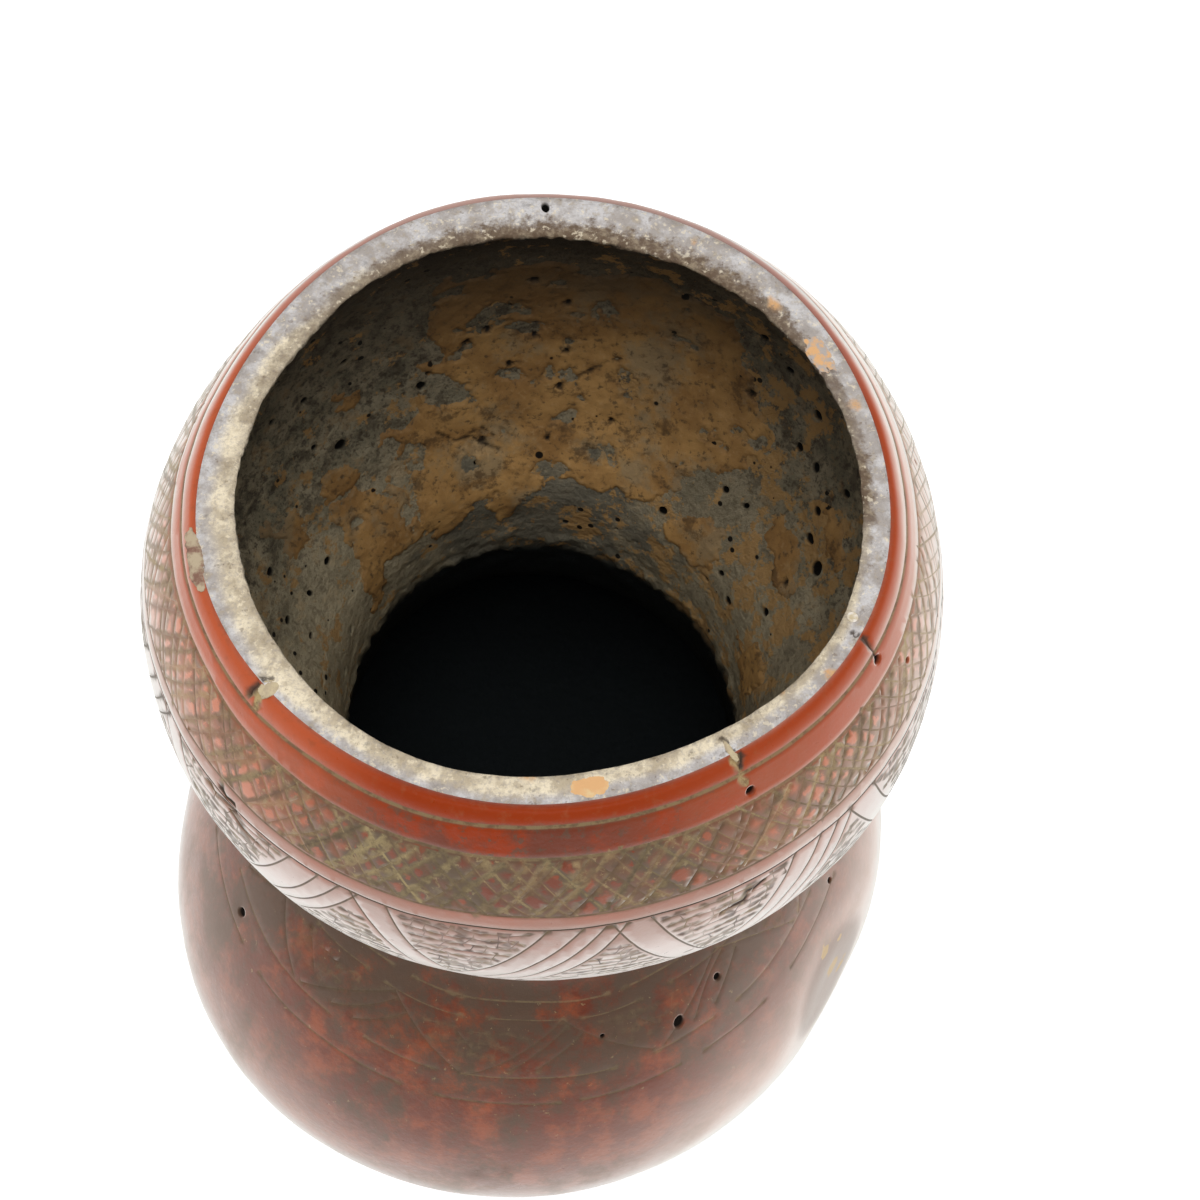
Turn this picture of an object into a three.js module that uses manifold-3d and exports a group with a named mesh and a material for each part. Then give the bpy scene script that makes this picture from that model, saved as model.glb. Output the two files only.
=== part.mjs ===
// Gourd jug: one double-bellied bottle gourd, its top cut off, hollowed and left open.
// Millimetres, +Z up, origin at the centre of the flat base, -Y to the front.
import * as THREE from 'three';
import { mergeVertices } from 'three/addons/utils/BufferGeometryUtils.js';
import Module from 'manifold-3d';

const wasm = await Module();
wasm.setup();

// Bellies
const baseRadius = 32;
const lowerBellyRadius = 85.5;
const lowerBellyHalfHeight = 70.1;
const bellySpacing = 141.7;
const upperBellyRadius = 63.8;
const upperBellyHalfHeight = 56.2;
const mouthRadius = 50;

// Waist
const waistRadius = 44.8;
const waistRise = 80;
const waistFlare = 3;
const waistReach = 32;
const waistFade = 24;
const throatSharpness = 9;

// Wall
const bellyWall = 4.5;
const waistWall = 5.5;
const floorThickness = 6;
const rimOuterRound = 0.8;
const rimInnerRound = 2.2;

// Profile of the rounded lip inside the rim, in shares of its round
const lipProfile = [
  { drop: 0, outset: 1 },
  { drop: 0.25, outset: 0.4 },
];

// Natural lean of the axis, and how far the hollow lies off it at the mouth
const lean = new THREE.Vector2(6.75, 0.33);
const hollowShift = new THREE.Vector2(0.6, -0.75);

// Out-of-round growth: how many lobes, how far they rise, and the direction of one in degrees
const lowerBellySwells = [
  { lobes: 2, rise: 1.35, toward: 37 },
  { lobes: 3, rise: 1.15, toward: 4 },
  { lobes: 4, rise: 0.85, toward: 27 },
];
const waistSwells = [
  { lobes: 2, rise: 0.4, toward: -54 },
  { lobes: 3, rise: 0.5, toward: -5 },
];
const upperBellySwells = [
  { lobes: 2, rise: 1, toward: 27 },
  { lobes: 3, rise: 0.75, toward: 56 },
  { lobes: 4, rise: 0.55, toward: -32 },
];
const rimSwells = [
  { lobes: 1, rise: 0.95, toward: 90 },
  { lobes: 3, rise: 0.45, toward: -25 },
  { lobes: 5, rise: 0.3, toward: -23 },
];
const mouthSwells = [
  { lobes: 2, rise: 0.6, toward: 0 },
  { lobes: 3, rise: 0.65, toward: -13 },
  { lobes: 5, rise: 0.25, toward: -29 },
];

// Flattened scar on the lower belly
const scarDirection = -27;
const scarHeight = 80;
const scarDepth = 2.4;
const scarReach = 26;

// Dried coat left on the wall of the upper chamber
const coatThickness = 0.5;
const seatGap = 0.3;

// Fineness of the surfaces
const azimuthSteps = 60;
const outerRings = 34;
const innerRings = 33;
const outlineSteps = 240;
const pebbleSides = 14;
const pebbleRings = 8;
const slopeStep = 0.5;

// Reach of the cutters that trim the coat, in shares of the waist and of the lower belly
const cutterNearShare = 0.25;
const cutterFarShare = 3;

// Levels that follow from the sizes above
const degree = Math.PI / 180;
const lowerBellyHeight = lowerBellyHalfHeight * Math.sqrt(1 - (baseRadius / lowerBellyRadius) ** 2);
const upperBellyHeight = lowerBellyHeight + bellySpacing;
const waistHeight = lowerBellyHeight + waistRise;
const rimHeight = upperBellyHeight
  + upperBellyHalfHeight * Math.sqrt(1 - (mouthRadius / upperBellyRadius) ** 2);

// Outline of the gourd: radius at a height, before any out-of-round growth
function ellipseRadius(height, middle, radius, halfHeight) {
  const share = (height - middle) / halfHeight;
  return radius * Math.sqrt(Math.max(0, 1 - share * share));
}

function waistOutline(height, radius) {
  const away = Math.abs(height - waistHeight);
  const flared = radius + waistFlare * THREE.MathUtils.smoothstep(away, 0, waistReach);
  return flared * (1 - THREE.MathUtils.smoothstep(away, waistReach, waistReach + waistFade));
}

function softUnion(...radii) {
  const total = radii.reduce((sum, radius) => sum + radius ** throatSharpness, 0);
  return total ** (1 / throatSharpness);
}

function outerOutline(height) {
  return softUnion(
    ellipseRadius(height, lowerBellyHeight, lowerBellyRadius, lowerBellyHalfHeight),
    ellipseRadius(height, upperBellyHeight, upperBellyRadius, upperBellyHalfHeight),
    waistOutline(height, waistRadius),
  );
}

function innerOutline(height) {
  const belowMiddle = height < lowerBellyHeight;
  const lowerHalf = belowMiddle ? lowerBellyHeight - floorThickness : lowerBellyHalfHeight - bellyWall;
  const upperHalf = upperBellyHalfHeight - bellyWall;
  return softUnion(
    ellipseRadius(height, lowerBellyHeight, lowerBellyRadius - bellyWall, lowerHalf),
    ellipseRadius(height, upperBellyHeight, upperBellyRadius - bellyWall, upperHalf),
    waistOutline(height, waistRadius - waistWall),
  );
}

// Growth off the round, which fades from one level of the gourd to the next
function swell(lobes, azimuth) {
  const rise = (lobe) => lobe.rise * Math.cos(lobe.lobes * (azimuth - lobe.toward * degree));
  return lobes.reduce((sum, lobe) => sum + rise(lobe), 0);
}

function growth(height, azimuth, radius, topSwells) {
  const lower = 1 - THREE.MathUtils.smoothstep(height, lowerBellyHeight, waistHeight);
  const upper = THREE.MathUtils.smoothstep(height, waistHeight, upperBellyHeight);
  const top = THREE.MathUtils.smoothstep(height, upperBellyHeight, rimHeight);
  const waist = (1 - lower) * (1 - upper);
  return lower * swell(lowerBellySwells, azimuth) * radius / lowerBellyRadius
    + waist * swell(waistSwells, azimuth)
    + upper * (1 - top) * swell(upperBellySwells, azimuth)
    + upper * top * swell(topSwells, azimuth);
}

function scar(height, azimuth) {
  const turn = THREE.MathUtils.euclideanModulo(azimuth - scarDirection * degree + Math.PI, 2 * Math.PI);
  const along = lowerBellyRadius * (turn - Math.PI);
  const away = Math.hypot(along, height - scarHeight) / scarReach;
  return scarDepth * Math.max(0, 1 - away * away) ** 2;
}

function outerRadius(height, azimuth) {
  const radius = outerOutline(height);
  return radius + growth(height, azimuth, radius, rimSwells) - scar(height, azimuth);
}

function innerRadius(height, azimuth) {
  const radius = innerOutline(height);
  const fall = radius / lowerBellyRadius;
  return radius + growth(height, azimuth, radius, mouthSwells) - fall * scar(height, azimuth);
}

// Points in space
function axisAt(height) {
  const share = THREE.MathUtils.smoothstep(height, lowerBellyHeight, upperBellyHeight);
  return lean.clone().multiplyScalar(share);
}

function hollowAxisAt(height) {
  const share = THREE.MathUtils.smoothstep(height, waistHeight, upperBellyHeight);
  return axisAt(height).addScaledVector(hollowShift, share);
}

function pointAt(axis, radius, azimuth, height) {
  const x = axis.x + radius * Math.cos(azimuth);
  const y = axis.y + radius * Math.sin(azimuth);
  return new THREE.Vector3(x, y, height);
}

function outerPoint(height, azimuth, inset = 0) {
  return pointAt(axisAt(height), outerRadius(height, azimuth) - inset, azimuth, height);
}

function innerPoint(height, azimuth, outset = 0) {
  return pointAt(hollowAxisAt(height), innerRadius(height, azimuth) + outset, azimuth, height);
}

// A point that lies a true distance inside the wall of the hollow
function coatPoint(height, azimuth, inset) {
  const above = innerRadius(height + slopeStep, azimuth);
  const below = innerRadius(height - slopeStep, azimuth);
  const slope = (above - below) / (2 * slopeStep);
  return innerPoint(height, azimuth, -inset * Math.hypot(1, slope));
}

function spacedHeights(outline, bottom, top, count) {
  const points = [];
  for (let step = 0; step <= outlineSteps; step += 1) {
    const height = bottom + (top - bottom) * (1 - Math.cos(Math.PI * step / outlineSteps)) / 2;
    points.push(new THREE.Vector2(outline(height), height));
  }
  const curve = new THREE.SplineCurve(points);
  curve.arcLengthDivisions = outlineSteps;
  return curve.getSpacedPoints(count).map((point) => point.y);
}

const outerHeights = spacedHeights(outerOutline, 0, rimHeight - rimOuterRound, outerRings);
const innerTop = rimHeight - rimInnerRound;
const innerHeights = spacedHeights(innerOutline, floorThickness, innerTop, innerRings);
const azimuthStep = 360 / azimuthSteps;
const azimuths = Array.from({ length: azimuthSteps }, (_, step) => step * azimuthStep * degree);

// Solids
function solidFromPoints(points, triangles) {
  const vertProperties = new Float32Array(points.flatMap((point) => point.toArray()));
  const triVerts = new Uint32Array(triangles.flat());
  return new wasm.Manifold(new wasm.Mesh({ numProp: 3, vertProperties, triVerts }));
}

function solidFromGeometry(geometry) {
  geometry.deleteAttribute('normal');
  geometry.deleteAttribute('uv');
  const merged = mergeVertices(geometry);
  const vertProperties = new Float32Array(merged.attributes.position.array);
  const triVerts = new Uint32Array(merged.index.array);
  return new wasm.Manifold(new wasm.Mesh({ numProp: 3, vertProperties, triVerts }));
}

function geometryFromSolid(solid) {
  const mesh = solid.getMesh();
  const geometry = new THREE.BufferGeometry();
  geometry.setAttribute('position', new THREE.BufferAttribute(mesh.vertProperties.slice(), mesh.numProp));
  geometry.setIndex(new THREE.BufferAttribute(mesh.triVerts.slice(), 1));
  geometry.computeVertexNormals();
  return geometry;
}

// A closed skin through rings of points, from a first pole to a last one
function loft(firstPole, rings, lastPole) {
  const points = [firstPole, ...rings.flat(), lastPole];
  const count = rings[0].length;
  const last = points.length - 1;
  const triangles = [];
  const vertex = (ring, side) => 1 + ring * count + side % count;
  for (let side = 0; side < count; side += 1) {
    triangles.push([0, vertex(0, side + 1), vertex(0, side)]);
    for (let ring = 0; ring < rings.length - 1; ring += 1) {
      const lower = [vertex(ring, side), vertex(ring, side + 1)];
      const upper = [vertex(ring + 1, side), vertex(ring + 1, side + 1)];
      triangles.push([lower[0], lower[1], upper[1]]);
      triangles.push([lower[0], upper[1], upper[0]]);
    }
    triangles.push([last, vertex(rings.length - 1, side), vertex(rings.length - 1, side + 1)]);
  }
  return solidFromPoints(points, triangles);
}

function ringOf(pointAtAzimuth) {
  return azimuths.map(pointAtAzimuth);
}

const outerSkin = outerHeights.map((height) => ringOf((azimuth) => outerPoint(height, azimuth)));
const rimEdge = ringOf((azimuth) => outerPoint(rimHeight, azimuth, rimOuterRound / 2));
const basePole = new THREE.Vector3(0, 0, 0);

function solidGourd() {
  const topPole = pointAt(axisAt(rimHeight), 0, 0, rimHeight);
  return loft(basePole, [...outerSkin, rimEdge], topPole);
}

function hollowGourd() {
  const lipRings = lipProfile.map(({ drop, outset }) => ringOf(
    (azimuth) => innerPoint(rimHeight - drop * rimInnerRound, azimuth, outset * rimInnerRound),
  ));
  const innerSkin = innerHeights.slice(1).reverse()
    .map((height) => ringOf((azimuth) => innerPoint(height, azimuth)));
  const floorPole = pointAt(hollowAxisAt(floorThickness), 0, 0, floorThickness);
  return loft(basePole, [...outerSkin, rimEdge, ...lipRings, ...innerSkin], floorPole);
}

// Dried coat: the layer on the wall, cut to an outline of azimuths in degrees and levels.
// A level is the way down from the rim to the waist, in hundredths.
function heightAtLevel(level) {
  return rimHeight - (rimHeight - waistHeight) * level / 100;
}

function coatLayer(outline) {
  const turns = outline.map(([turn]) => turn);
  const levels = outline.map(([, level]) => level);
  const firstSide = Math.floor(Math.min(...turns) / azimuthStep) - 1;
  const lastSide = Math.ceil(Math.max(...turns) / azimuthStep) + 1;
  const low = heightAtLevel(Math.max(...levels));
  const high = heightAtLevel(Math.min(...levels));
  const above = innerHeights.findIndex((height) => height > high);
  const firstRow = innerHeights.findIndex((height) => height > low) - 1;
  const lastRow = above < 0 ? innerHeights.length - 1 : above;
  const heights = innerHeights.slice(firstRow, lastRow + 1);
  const rows = heights.length;
  const columns = lastSide - firstSide + 1;
  const sides = Array.from({ length: columns }, (_, side) => (firstSide + side) * azimuthStep * degree);
  const sheet = (inset) => heights.flatMap(
    (height) => sides.map((azimuth) => coatPoint(height, azimuth, inset)),
  );
  const points = [...sheet(seatGap), ...sheet(seatGap + coatThickness)];
  const wallSide = (row, column) => row * columns + column;
  const openSide = (row, column) => (rows + row) * columns + column;
  const triangles = [];
  const quad = (a, b, c, d) => triangles.push([a, b, c], [a, c, d]);
  const strip = (row, column, nextRow, nextColumn) => quad(
    wallSide(row, column),
    wallSide(nextRow, nextColumn),
    openSide(nextRow, nextColumn),
    openSide(row, column),
  );
  const top = rows - 1;
  const end = columns - 1;
  for (let row = 0; row < top; row += 1) {
    for (let column = 0; column < end; column += 1) {
      const corners = [[row, column], [row, column + 1], [row + 1, column + 1], [row + 1, column]];
      quad(...corners.map((corner) => wallSide(...corner)));
      quad(...corners.reverse().map((corner) => openSide(...corner)));
    }
    strip(row, 0, row + 1, 0);
    strip(row + 1, end, row, end);
  }
  for (let column = 0; column < end; column += 1) {
    strip(0, column + 1, 0, column);
    strip(top, column, top, column + 1);
  }
  return solidFromPoints(points, triangles);
}

function outlineCutter(outline) {
  const nearRadius = cutterNearShare * waistRadius;
  const farRadius = cutterFarShare * lowerBellyRadius;
  const contour = outline.map(([turn, level]) => new THREE.Vector2(turn * degree, heightAtLevel(level)));
  if (THREE.ShapeUtils.isClockWise(contour)) {
    contour.reverse();
  }
  const axis = hollowAxisAt(upperBellyHeight);
  const points = [nearRadius, farRadius].flatMap(
    (radius) => contour.map((corner) => pointAt(axis, radius, corner.x, corner.y)),
  );
  const count = contour.length;
  const faces = THREE.ShapeUtils.triangulateShape(contour, []);
  const triangles = [];
  faces.forEach(([a, b, c]) => {
    triangles.push([a, c, b]);
    triangles.push([a + count, b + count, c + count]);
  });
  for (let corner = 0; corner < count; corner += 1) {
    const next = (corner + 1) % count;
    triangles.push([corner, next, next + count]);
    triangles.push([corner, next + count, corner + count]);
  }
  return solidFromPoints(points, triangles);
}

function driedCoat(outline) {
  return coatLayer(outline).intersect(outlineCutter(outline));
}

const coatOutlines = {
  coat_back_sheet: [
    [114, 29], [107, 23], [98, 21], [84, 21], [70, 28], [60, 38], [53, 51], [49, 58],
    [51, 67], [58, 72], [65, 78], [73, 82], [80, 84], [87, 79], [94, 78], [102, 81],
    [113, 82], [122, 79], [126, 72], [122, 65], [128, 60], [121, 54], [124, 46], [121, 37],
  ],
  coat_left_tongue: [
    [147, 66], [140, 66], [132, 71], [127, 77], [128, 81], [136, 79], [142, 81],
    [144, 87], [148, 94], [152, 92], [151, 83], [149, 75],
  ],
  coat_left_high_spot: [[135, 45], [131, 45], [130, 49], [133, 50], [136, 48]],
  coat_left_middle_spot: [[138, 54], [134, 54], [133, 57], [136, 58]],
  coat_left_low_spot: [[144, 60], [139, 60], [138, 64], [142, 65], [146, 62]],
  coat_left_island: [[158, 59], [153, 58], [151, 62], [154, 67], [160, 66], [160, 62]],
  coat_left_rim_side_spot: [[162, 57], [160, 56], [159, 59], [161, 60]],
  coat_right_low_patch: [[58, 79], [48, 73], [41, 75], [40, 81], [46, 85], [56, 83]],
  coat_right_middle_patch: [[34, 64], [26, 66], [21, 70], [25, 73], [32, 70], [37, 66]],
  coat_right_upper_patch: [[31, 52], [24, 53], [17, 56], [16, 60], [22, 60], [29, 57]],
  coat_front_right_patch: [[21, 87], [14, 81], [7, 80], [2, 83], [6, 93], [15, 92]],
};

// Fills and drops seated in small hollows of the rim.
// Along, across and deep are half sizes; drop is how far the middle lies below the rim.
const rimFills = {
  rim_paste_left: { toward: -136, offEdge: -0.6, drop: 0.2, along: 2.6, across: 2.3, deep: 2.3 },
  rim_crust_left: { toward: -163, offEdge: 0, drop: 0.6, along: 5.6, across: 1.7, deep: 1.7 },
  rim_gum_front: { toward: -80, offEdge: -3.4, drop: 0, along: 3.3, across: 2.1, deep: 0.9 },
  rim_grit_right: { toward: 30, offEdge: -3.8, drop: 0, along: 4.6, across: 1.8, deep: 0.9 },
  rim_crack_fill_front: { toward: -56, offEdge: -1.6, drop: 0, along: 0.9, across: 2.8, deep: 2.6 },
  rim_bead_right: { toward: -25, offEdge: -2.3, drop: 0, along: 1.1, across: 1.1, deep: 1.1 },
};

function pebble(fill, shrink) {
  const azimuth = fill.toward * degree;
  const height = rimHeight - fill.drop;
  const middle = outerPoint(height, azimuth, -fill.offEdge);
  const geometry = new THREE.SphereGeometry(1, pebbleSides, pebbleRings);
  geometry.scale(fill.across - shrink, fill.along - shrink, fill.deep - shrink);
  geometry.rotateZ(azimuth);
  geometry.translate(middle.x, middle.y, middle.z);
  return solidFromGeometry(geometry);
}

// Colours and finishes
const finishes = {
  waxedRind: { color: 0x7a2f1e, roughness: 0.32, metalness: 0 },
  ochreCoat: { color: 0x6f4c2a, roughness: 0.85, metalness: 0 },
  palePaste: { color: 0xb9a684, roughness: 0.8, metalness: 0 },
  orangeGum: { color: 0xb0753c, roughness: 0.5, metalness: 0 },
  whiteBead: { color: 0xd9cfc0, roughness: 0.5, metalness: 0 },
};

const fillFinishes = {
  rim_paste_left: finishes.palePaste,
  rim_crust_left: finishes.palePaste,
  rim_gum_front: finishes.orangeGum,
  rim_grit_right: finishes.orangeGum,
  rim_crack_fill_front: finishes.palePaste,
  rim_bead_right: finishes.whiteBead,
};

function piece(name, solid, finish) {
  const mesh = new THREE.Mesh(geometryFromSolid(solid), new THREE.MeshStandardMaterial(finish));
  mesh.name = name;
  return mesh;
}

// Assembly
const jug = new THREE.Group();
jug.name = 'gourd_jug';

const seats = Object.values(rimFills).map((fill) => pebble(fill, 0));
const shell = seats.reduce((solid, seat) => solid.subtract(seat), hollowGourd());
jug.add(piece('gourd_shell', shell, finishes.waxedRind));

Object.entries(coatOutlines).forEach(([name, outline]) => {
  jug.add(piece(name, driedCoat(outline), finishes.ochreCoat));
});

const envelope = solidGourd();
Object.entries(rimFills).forEach(([name, fill]) => {
  const drop = pebble(fill, seatGap).intersect(envelope);
  jug.add(piece(name, drop, fillFinishes[name]));
});

export default jug;
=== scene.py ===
"""Gourd jug: a double-bellied bottle gourd, cut open at the top, waxed and engraved."""
import math

import bpy
import numpy as np
from bpy.props import FloatProperty, FloatVectorProperty, IntProperty, PointerProperty
from mathutils import Matrix, Vector, noise
from mathutils.geometry import delaunay_2d_cdt
from mathutils.kdtree import KDTree


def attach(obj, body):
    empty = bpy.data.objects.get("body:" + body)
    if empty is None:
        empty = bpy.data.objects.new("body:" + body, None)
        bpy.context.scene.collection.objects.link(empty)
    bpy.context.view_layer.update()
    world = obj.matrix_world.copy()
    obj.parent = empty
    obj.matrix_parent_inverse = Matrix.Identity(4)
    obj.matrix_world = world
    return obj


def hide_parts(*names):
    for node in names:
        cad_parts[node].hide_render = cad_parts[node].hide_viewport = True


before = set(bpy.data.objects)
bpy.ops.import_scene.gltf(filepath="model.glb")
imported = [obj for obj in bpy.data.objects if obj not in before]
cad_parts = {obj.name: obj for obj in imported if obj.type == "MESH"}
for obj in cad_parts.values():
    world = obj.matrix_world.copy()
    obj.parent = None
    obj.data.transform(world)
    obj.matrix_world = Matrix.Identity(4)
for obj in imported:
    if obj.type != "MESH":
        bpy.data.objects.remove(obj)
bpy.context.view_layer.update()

bl_info = {
    "name": "Gourd Jug",
    "version": (1, 0, 0),
    "blender": (4, 5, 0),
    "location": "View3D > Sidebar > Gourd Jug",
    "description": "Builds a cut, waxed and engraved bottle gourd on its CAD frame",
    "category": "Object",
}

MM = 0.001
DEGREE = math.pi / 180
TURN = 2 * math.pi

# Out-of-round growth: lobes, rise in millimetres, direction of one lobe in degrees
LOWER_SWELLS = ((2, 1.35, 37), (3, 1.15, 4), (4, 0.85, 27))
WAIST_SWELLS = ((2, 0.4, -54), (3, 0.5, -5))
UPPER_SWELLS = ((2, 1.0, 27), (3, 0.75, 56), (4, 0.55, -32))
RIM_SWELLS = ((1, 0.95, 90), (3, 0.45, -25), (5, 0.3, -23))
MOUTH_SWELLS = ((2, 0.6, 0), (3, 0.65, -13), (5, 0.25, -29))


def length(name, text, millimetres):
    """A length that shows in the panel."""
    return FloatProperty(
        name=name, description=text, default=millimetres * MM, unit="LENGTH", precision=4
    )


def colour(name, text, red, green, blue):
    """A colour that shows in the panel."""
    return FloatVectorProperty(
        name=name, description=text, default=(red, green, blue), subtype="COLOR", min=0, max=1
    )


class GourdSizes(bpy.types.PropertyGroup):
    """Sizes of the gourd's two bellies, waist, wall and mouth."""

    base_radius: length("Base radius", "Flat base that the jug stands on", 32)
    lower_radius: length("Lower belly radius", "Widest part of the lower belly", 85.5)
    lower_half: length("Lower belly half height", "Half height of the lower belly", 70.1)
    spacing: length("Belly spacing", "Height from one belly's middle to the other's", 141.7)
    upper_radius: length("Upper belly radius", "Widest part of the upper belly", 63.8)
    upper_half: length("Upper belly half height", "Half height of the upper belly", 56.2)
    mouth_radius: length("Mouth radius", "Outer radius where the top is cut off", 50)
    waist_radius: length("Waist radius", "Outer radius of the waist", 44.8)
    waist_rise: length("Waist rise", "Height of the waist over the lower belly's middle", 80)
    waist_flare: length("Waist flare", "How far the waist widens away from its middle", 3)
    waist_reach: length("Waist reach", "How far up and down the flare goes", 32)
    waist_fade: length("Waist fade", "How soon the waist then gives way to the bellies", 24)
    throat: FloatProperty(
        name="Throat sharpness", description="How sharply the bellies meet the waist", default=9
    )
    belly_wall: length("Belly wall", "Rind thickness of the bellies", 4.5)
    waist_wall: length("Waist wall", "Rind thickness of the waist", 5.5)
    floor_wall: length("Floor", "Rind thickness over the base", 6)
    skin: length("Skin", "Depth of the hard waxed skin on the wall", 2)
    outer_round: length("Outer round", "Worn outer edge of the rim", 0.8)
    inner_round: length("Inner round", "Worn inner edge of the rim", 1.2)
    lean: FloatVectorProperty(
        name="Lean",
        description="How far the upper belly stands off the lower one",
        default=(6.75 * MM, 0.33 * MM),
        size=2,
        unit="LENGTH",
    )
    hollow_shift: FloatVectorProperty(
        name="Hollow shift",
        description="How far the hollow lies off the gourd's axis at the mouth",
        default=(0.6 * MM, -0.75 * MM),
        size=2,
        unit="LENGTH",
    )
    scar_turn: FloatProperty(
        name="Scar direction",
        description="Direction of the flattened scar",
        default=-27 * DEGREE,
        subtype="ANGLE",
        unit="ROTATION",
    )
    scar_height: length("Scar height", "Height of the scar's middle", 80)
    scar_depth: length("Scar depth", "How deep the scar is", 2.4)
    scar_reach: length("Scar reach", "How far the scar reaches", 26)


class GourdEngraving(bpy.types.PropertyGroup):
    """Sizes of the engraved lines."""

    line_width: length("Line width", "Width of a cut line", 0.46)
    line_depth: length("Line depth", "Depth of a cut line", 0.22)
    wobble: length("Wobble", "How far a line round the jug strays", 0.35)
    lattice_lines: IntProperty(
        name="Lattice lines",
        description="Slanting lines each way in the upper lattice",
        default=124,
        min=24,
    )
    stroke_gap: length("Stroke gap", "Gap between the hatching strokes", 1.9)
    seed: IntProperty(name="Seed", description="Start of the hand's small errors", default=7)


class GourdColours(bpy.types.PropertyGroup):
    """Colours of the gourd and of what lies on it."""

    bright_wax: colour("Bright wax", "Wax next to the rim", 0.285, 0.032, 0.002)
    rust_wax: colour("Rust wax", "Wax between the lines and in patches", 0.29, 0.068, 0.024)
    deep_wax: colour("Deep wax", "Darker wax", 0.15, 0.034, 0.016)
    dusty_wax: colour("Dusty wax", "Rubbed and dusty wax", 0.22, 0.115, 0.08)
    # Painted light: brighter wax for the left of the band next to the rim, also the colour of the
    # painted sheen on the top bands
    painted_lit_wax: colour("Side wax", "Brighter wax next to the rim at the sides", 0.56, 0.125, 0.05)
    # The next four colours, and the pale one after salmon wax, are a painted sheen: they are mixed
    # into the wax where it is seen at a slant and stand in for the white room's reflection
    painted_sheen: colour("Bloom", "Haze on the wax where it is seen at a slant", 0.86, 0.69, 0.6)
    warm_painted_sheen: colour("Warm bloom", "Paler wax of the lattice at a slant", 0.74, 0.22, 0.1)
    pink_painted_sheen: colour("Pink bloom", "Haze on the zigzag band where it faces up", 0.66, 0.47, 0.41)
    limb_painted_sheen: colour("Limb bloom", "Haze on the wax at its outline", 0.97, 0.93, 0.86)
    salmon_wax: colour("Salmon wax", "Wax of the plain band over the zigzag", 0.44, 0.2, 0.145)
    pale_painted_sheen: colour("Pale bloom", "Haze on the polished zigzag band", 0.86, 0.745, 0.69)
    # Grime is also the painted shade on the lower belly's shoulder, under the upper belly
    grime: colour("Grime", "Old grime rubbed into the skin", 0.095, 0.062, 0.04)
    tan_grime: colour("Tan grime", "Grime in the lattice", 0.12, 0.081, 0.05)
    # Dark fill is also painted shade inside the cracks of the skin and of the rim's face
    dark_fill_and_crack_shade: colour("Dark fill", "Dirt in the cut lines", 0.055, 0.036, 0.026)
    pale_fill: colour("Pale fill", "Chalky fill in the cut lines", 0.45, 0.35, 0.17)
    rim_face: colour("Rim face", "Cut face of the rim", 0.42, 0.375, 0.345)
    # Rim lilac is the pale outer edge of the cut rim with a painted highlight along it
    rim_lilac_highlight: colour("Rim lilac", "Pale outer fringe of the rim", 0.655, 0.63, 0.625)
    rim_cream: colour("Rim cream", "Cream patches on the rim", 0.92, 0.8, 0.59)
    rim_tan: colour("Rim tan", "Tan patches on the rim", 0.46, 0.37, 0.25)
    rim_brown: colour("Rim brown", "Stained inner edge of the rim", 0.13, 0.08, 0.045)
    bare_wall: colour("Bare wall", "Bare inner wall", 0.42, 0.36, 0.24)
    wall_green: colour("Wall green", "Greyer bare wall", 0.25, 0.225, 0.15)
    # Wall pale is also painted light where the low wall faces up to the mouth
    wall_pale_and_lit: colour("Wall pale", "Pale fibres in the wall", 0.5, 0.42, 0.27)
    wall_slate: colour("Wall slate", "Slate grey stain over the throat", 0.105, 0.103, 0.085)
    # Wall dark is also painted shade on the upper wall under the lip and along the coat's edges
    wall_stain_and_shade: colour("Wall dark", "Stained inner wall", 0.055, 0.042, 0.028)
    coat: colour("Coat", "Dried ochre coat", 0.44, 0.25, 0.088)
    coat_brown: colour("Coat brown", "Browner coat", 0.31, 0.165, 0.056)
    coat_pale: colour("Coat pale", "Dusty coat", 0.5, 0.33, 0.16)
    # Coat dark is also painted shade on the coat under the lip
    coat_dark_and_shade: colour("Coat dark", "Coat under the lip", 0.1, 0.058, 0.027)
    paste: colour("Paste", "Pale paste in the rim", 0.56, 0.46, 0.29)
    gum_yellow: colour("Gum yellow", "Yellower gum on the rim", 0.72, 0.53, 0.28)
    gum: colour("Gum", "Orange gum on the rim", 0.7, 0.4, 0.18)
    bead: colour("Bead", "White drop on the rim", 0.80, 0.74, 0.66)


class GourdStudio(bpy.types.PropertyGroup):
    """Camera and light."""

    camera_place: FloatVectorProperty(
        name="Camera place",
        description="Where the camera stands",
        default=(15.219 * MM, -105.629 * MM, 428.453 * MM),
        subtype="TRANSLATION",
        unit="LENGTH",
    )
    camera_pitch: FloatProperty(
        name="Camera pitch",
        description="How far the camera looks down from level",
        default=64.939 * DEGREE,
        subtype="ANGLE",
        unit="ROTATION",
    )
    camera_roll: FloatProperty(
        name="Camera roll",
        description="How far the camera is turned on its line of sight",
        default=0.038,
        subtype="ANGLE",
        unit="ROTATION",
    )
    lens: FloatProperty(
        name="Lens", description="Focal length in millimetres on a 36 mm frame", default=45
    )
    sky: FloatProperty(name="Sky", description="Brightness of the white room", default=0.6)
    lamp: FloatProperty(name="Lamp", description="Power of the soft lamp in watts", default=12)
    floor: FloatProperty(name="Floor", description="How pale the floor is", default=0.86)


def smooth(value, low, high):
    """0 below low, 1 above high, and a soft step between them."""
    share = np.clip((value - low) / (high - low), 0, 1)
    return share * share * (3 - 2 * share)


def swell(lobes, azimuth):
    """Growth off the round, for one set of lobes."""
    return sum(rise * MM * np.cos(n * (azimuth - toward * DEGREE)) for n, rise, toward in lobes)


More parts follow.
